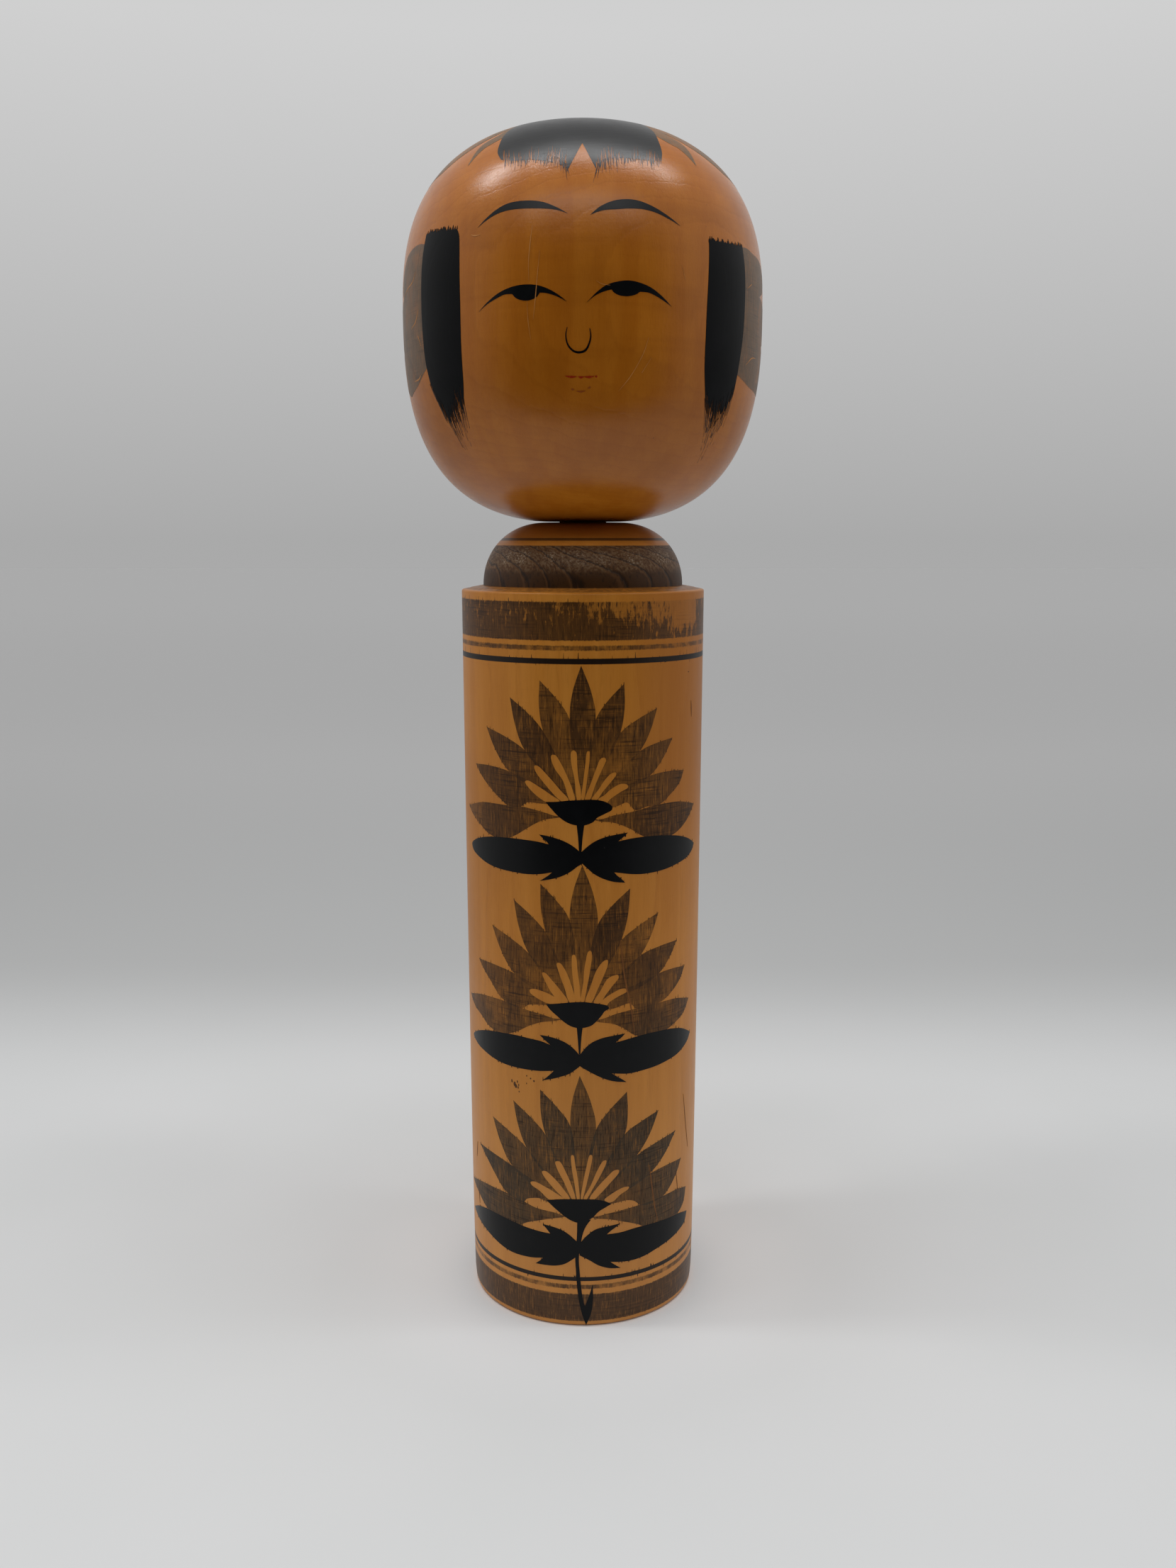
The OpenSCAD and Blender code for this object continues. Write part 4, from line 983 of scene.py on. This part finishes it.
# pale scratches and a small dent in the wax of the face
SCRATCH = plain_material("wax_scratches", "head", srgb(214, 150, 84), cover=0.60, rough=0.45)
scratches = [stroke(c, w, H, 0.8) for c, w in (
    ([(-14.4, 407.0), (-14.9, 401.0), (-15.3, 395.0), (-15.2, 389.5)], (0.08, 0.26, 0.16, 0.05)),
    ([(-12.0, 399.0), (-12.7, 391.0), (-13.2, 385.0), (-14.0, 377.0)], (0.05, 0.16, 0.26, 0.05)),
    ([(-15.8, 383.0), (-15.5, 376.0), (-14.8, 370.5)], (0.05, 0.18, 0.05)),
    ([(19.5, 371.5), (18.3, 367.0), (16.6, 363.0), (14.2, 358.5), (11.0, 354.0)], (0.05, 0.24, 0.18, 0.26, 0.05)),
    ([(20.6, 365.0), (17.8, 360.0)], (0.05, 0.20)),
    ([(-34.4, 405.9), (-33.0, 405.4), (-31.0, 405.5)], (0.1, 0.5, 0.1)),
    ([(30.0, 395.5), (31.2, 391.0)], (0.05, 0.2)),
    ([(4.0, 389.0), (5.6, 388.0), (8.0, 387.6)], (0.05, 0.16, 0.05)))]
film("wax_scratches", scratches, [], map_head, H, "head", SCRATCH, lift=0.07, grid=1.0)
pale = [stroke(c, w, H, 0.8) for c, w in (
    ([(-59.5, 385.0), (-62.0, 381.0), (-66.0, 379.0)], (0.05, 0.4, 0.1)),
    ([(-60.0, 363.0), (-62.5, 361.5), (-67.0, 361.0)], (0.05, 0.5, 0.1)),
    ([(-58.5, 372.0), (-60.5, 376.0)], (0.05, 0.3)),
    ([(-61.5, 398.0), (-64.0, 395.0), (-69.0, 393.5), (-74.5, 391.5)], (0.05, 0.35, 0.25, 0.1)),
    ([(60.0, 392.0), (63.5, 394.0)], (0.05, 0.3)),
    ([(61.0, 366.0), (66.0, 369.0), (70.0, 369.5)], (0.05, 0.4, 0.1)))]
film("bow_scratches", pale, [], map_head, H, "head", SCRATCH, lift=0.09, grid=1.0)

# ---------------------------------------------------------------- stage, light and camera
def stage_floor():
    """A pale table with painted shade that falls off softly behind the doll, standing in for the shading where cloth
    turns up into a wall, and a painted light patch round the base.
    """
    n = Nodes("pale_table_painted_light_and_shade")
    tc = n.new("ShaderNodeTexCoord")
    p = n.v("MULTIPLY", tc.outputs["Object"], (1000.0, 1000.0, 1000.0))
    sp = n.new("ShaderNodeSeparateXYZ")
    n.put(sp.inputs[0], p)
    painted_falloff_y = n.m("ADD", sp.outputs[1], n.m("MULTIPLY", n.m("SUBTRACT", n.noise(p, 0.003, 2), 0.5), 40.0))
    c = n.mix(n.noise(p, 0.01, 2), srgb(229, 231, 231), srgb(234, 235, 236))
    # painted light: the table is paler within about 110 mm of the doll, lifting its contact shadow
    c = n.mix(n.step(n.v("LENGTH", p), 110.0, 55.0), c, srgb(241, 242, 243))
    # painted shade: the table is darker in a band behind the doll, then lighter again further off
    c = n.mix(n.step(painted_falloff_y, 200.0, 450.0), c, srgb(203, 204, 204))
    c = n.mix(n.step(painted_falloff_y, 450.0, 1500.0), c, srgb(222, 222, 222))
    c = n.mix(n.step(painted_falloff_y, 1500.0, 6000.0), c, srgb(227, 227, 227))
    mat = n.finish(c, 0.6, n.noise(p, 0.4, 2), bump=0.05, distance=0.0002, spec=0.25)
    ys = [-0.55, -0.2, 0.0, 0.2, 0.5, 1.0, 2.0, 5.0, 14.0]
    xs = [-12.0, -4.0, -1.5, -0.6, -0.2, 0.2, 0.6, 1.5, 4.0, 12.0]
    verts = [(x, y, 0.0) for y in ys for x in xs]
    k = len(xs)
    faces = [(j * k + i, j * k + i + 1, (j + 1) * k + i + 1, (j + 1) * k + i) for j in range(len(ys) - 1) for i in range(k - 1)]
    me = bpy.data.meshes.new("table")
    me.from_pydata(verts, [], faces)
    me.materials.append(mat)
    ob = bpy.data.objects.new("table", me)
    bpy.context.scene.collection.objects.link(ob)


stage_floor()


def area(name, loc, target, size, radiance, color=(1, 1, 1)):
    li = bpy.data.lights.new(name, "AREA")
    li.shape = "RECTANGLE"
    li.size, li.size_y = size
    li.energy = radiance * math.pi * size[0] * size[1]
    li.color = color
    ob = bpy.data.objects.new(name, li)
    bpy.context.scene.collection.objects.link(ob)
    ob.location = loc
    ob.rotation_euler = (Vector(target) - Vector(loc)).to_track_quat("-Z", "Y").to_euler()
    ob.visible_camera = False
    return ob


# the light tent's ceiling: a soft panel a little to the front, and a hotter strip on either side
area("panel", (0.0, -0.09, 1.0), (0.0, -0.09, 0.0), (0.52, 0.20), 2.3)
for i, (x, r) in enumerate(((-0.20, 15.0), (-0.075, 10.5), (0.045, 9.5), (0.16, 10.5), (0.25, 8.0))):
    area("module_%d" % (i + 1), (x, -0.12, 0.99), (x, -0.12, 0.0), (0.06, 0.075), r)
area("strip_left", (-0.44, -0.05, 1.0), (0.0, -0.04, 0.40), (0.09, 0.22), 18.0)
area("strip_right", (0.355, -0.05, 1.0), (0.0, -0.04, 0.40), (0.08, 0.22), 12.0)
area("front_panel", (0.0, -0.66, 1.0), (0.0, -0.1, 0.35), (1.1, 0.14), 2.2)

world = bpy.data.worlds.new("light_tent")
bpy.context.scene.world = world
world.use_nodes = True
wt = world.node_tree
wt.nodes.clear()


class WorldNodes(Nodes):
    def __init__(self, tree):
        self.nt, self.x = tree, 0


wn = WorldNodes(wt)
tc = wn.new("ShaderNodeTexCoord")
sep = wn.new("ShaderNodeSeparateXYZ")
wn.put(sep.inputs[0], tc.outputs["Generated"])
X, Y, Z = sep.outputs
ramp = wn.new("ShaderNodeValToRGB")
ramp.color_ramp.interpolation = "LINEAR"
stops = [(0.0, 0.40), (0.50, 0.40), (0.585, 0.525), (0.655, 0.63), (0.75, 0.62), (0.93, 0.46), (1.0, 0.60)]
els = ramp.color_ramp.elements
els[0].position, els[0].color = stops[0][0], (stops[0][1],) * 3 + (1,)
els[1].position, els[1].color = stops[-1][0], (stops[-1][1],) * 3 + (1,)
for pos, v in stops[1:-1]:
    e = els.new(pos)
    e.color = (v, v, v, 1)
wn.put(ramp.inputs[0], wn.m("MULTIPLY_ADD", Z, 0.5, 0.5))
front = wn.m("MULTIPLY", wn.step(wn.m("MULTIPLY", Y, -1.0), 0.30, 0.72), wn.step(Z, 0.66, 0.40))
seen = wn.new("ShaderNodeLightPath").outputs["Is Camera Ray"]
dim = wn.m("MULTIPLY", front, wn.m("MULTIPLY_ADD", seen, -0.985, 0.985))
level = wn.m("MULTIPLY", ramp.outputs[0], wn.m("SUBTRACT", 1.0, dim))
below = wn.m("MULTIPLY", seen, wn.step(Z, -0.03, -0.20))
level = wn.m("ADD", level, wn.m("MULTIPLY", below, 0.20))
bg = wn.new("ShaderNodeBackground")
wo = wn.new("ShaderNodeOutputWorld")
bg.inputs["Color"].default_value = (1.0, 1.0, 1.0, 1)
wn.put(bg.inputs["Strength"], level)
wt.links.new(bg.outputs[0], wo.inputs[0])

scene = bpy.context.scene
scene.view_settings.view_transform = "Standard"
cam = bpy.data.cameras.new("camera")
cam.sensor_fit = "HORIZONTAL"
cam.sensor_width = 36.0
cam.lens = 1997.6 * 36.0 / 1659.0
cam.clip_start, cam.clip_end = 0.05, 20.0
cam_ob = bpy.data.objects.new("camera", cam)
scene.collection.objects.link(cam_ob)
cam_ob.location = (0.0020, -0.5567, 0.3053)
cam_ob.rotation_euler = (math.radians(90 - 9.87), 0, 0)
scene.camera = cam_ob
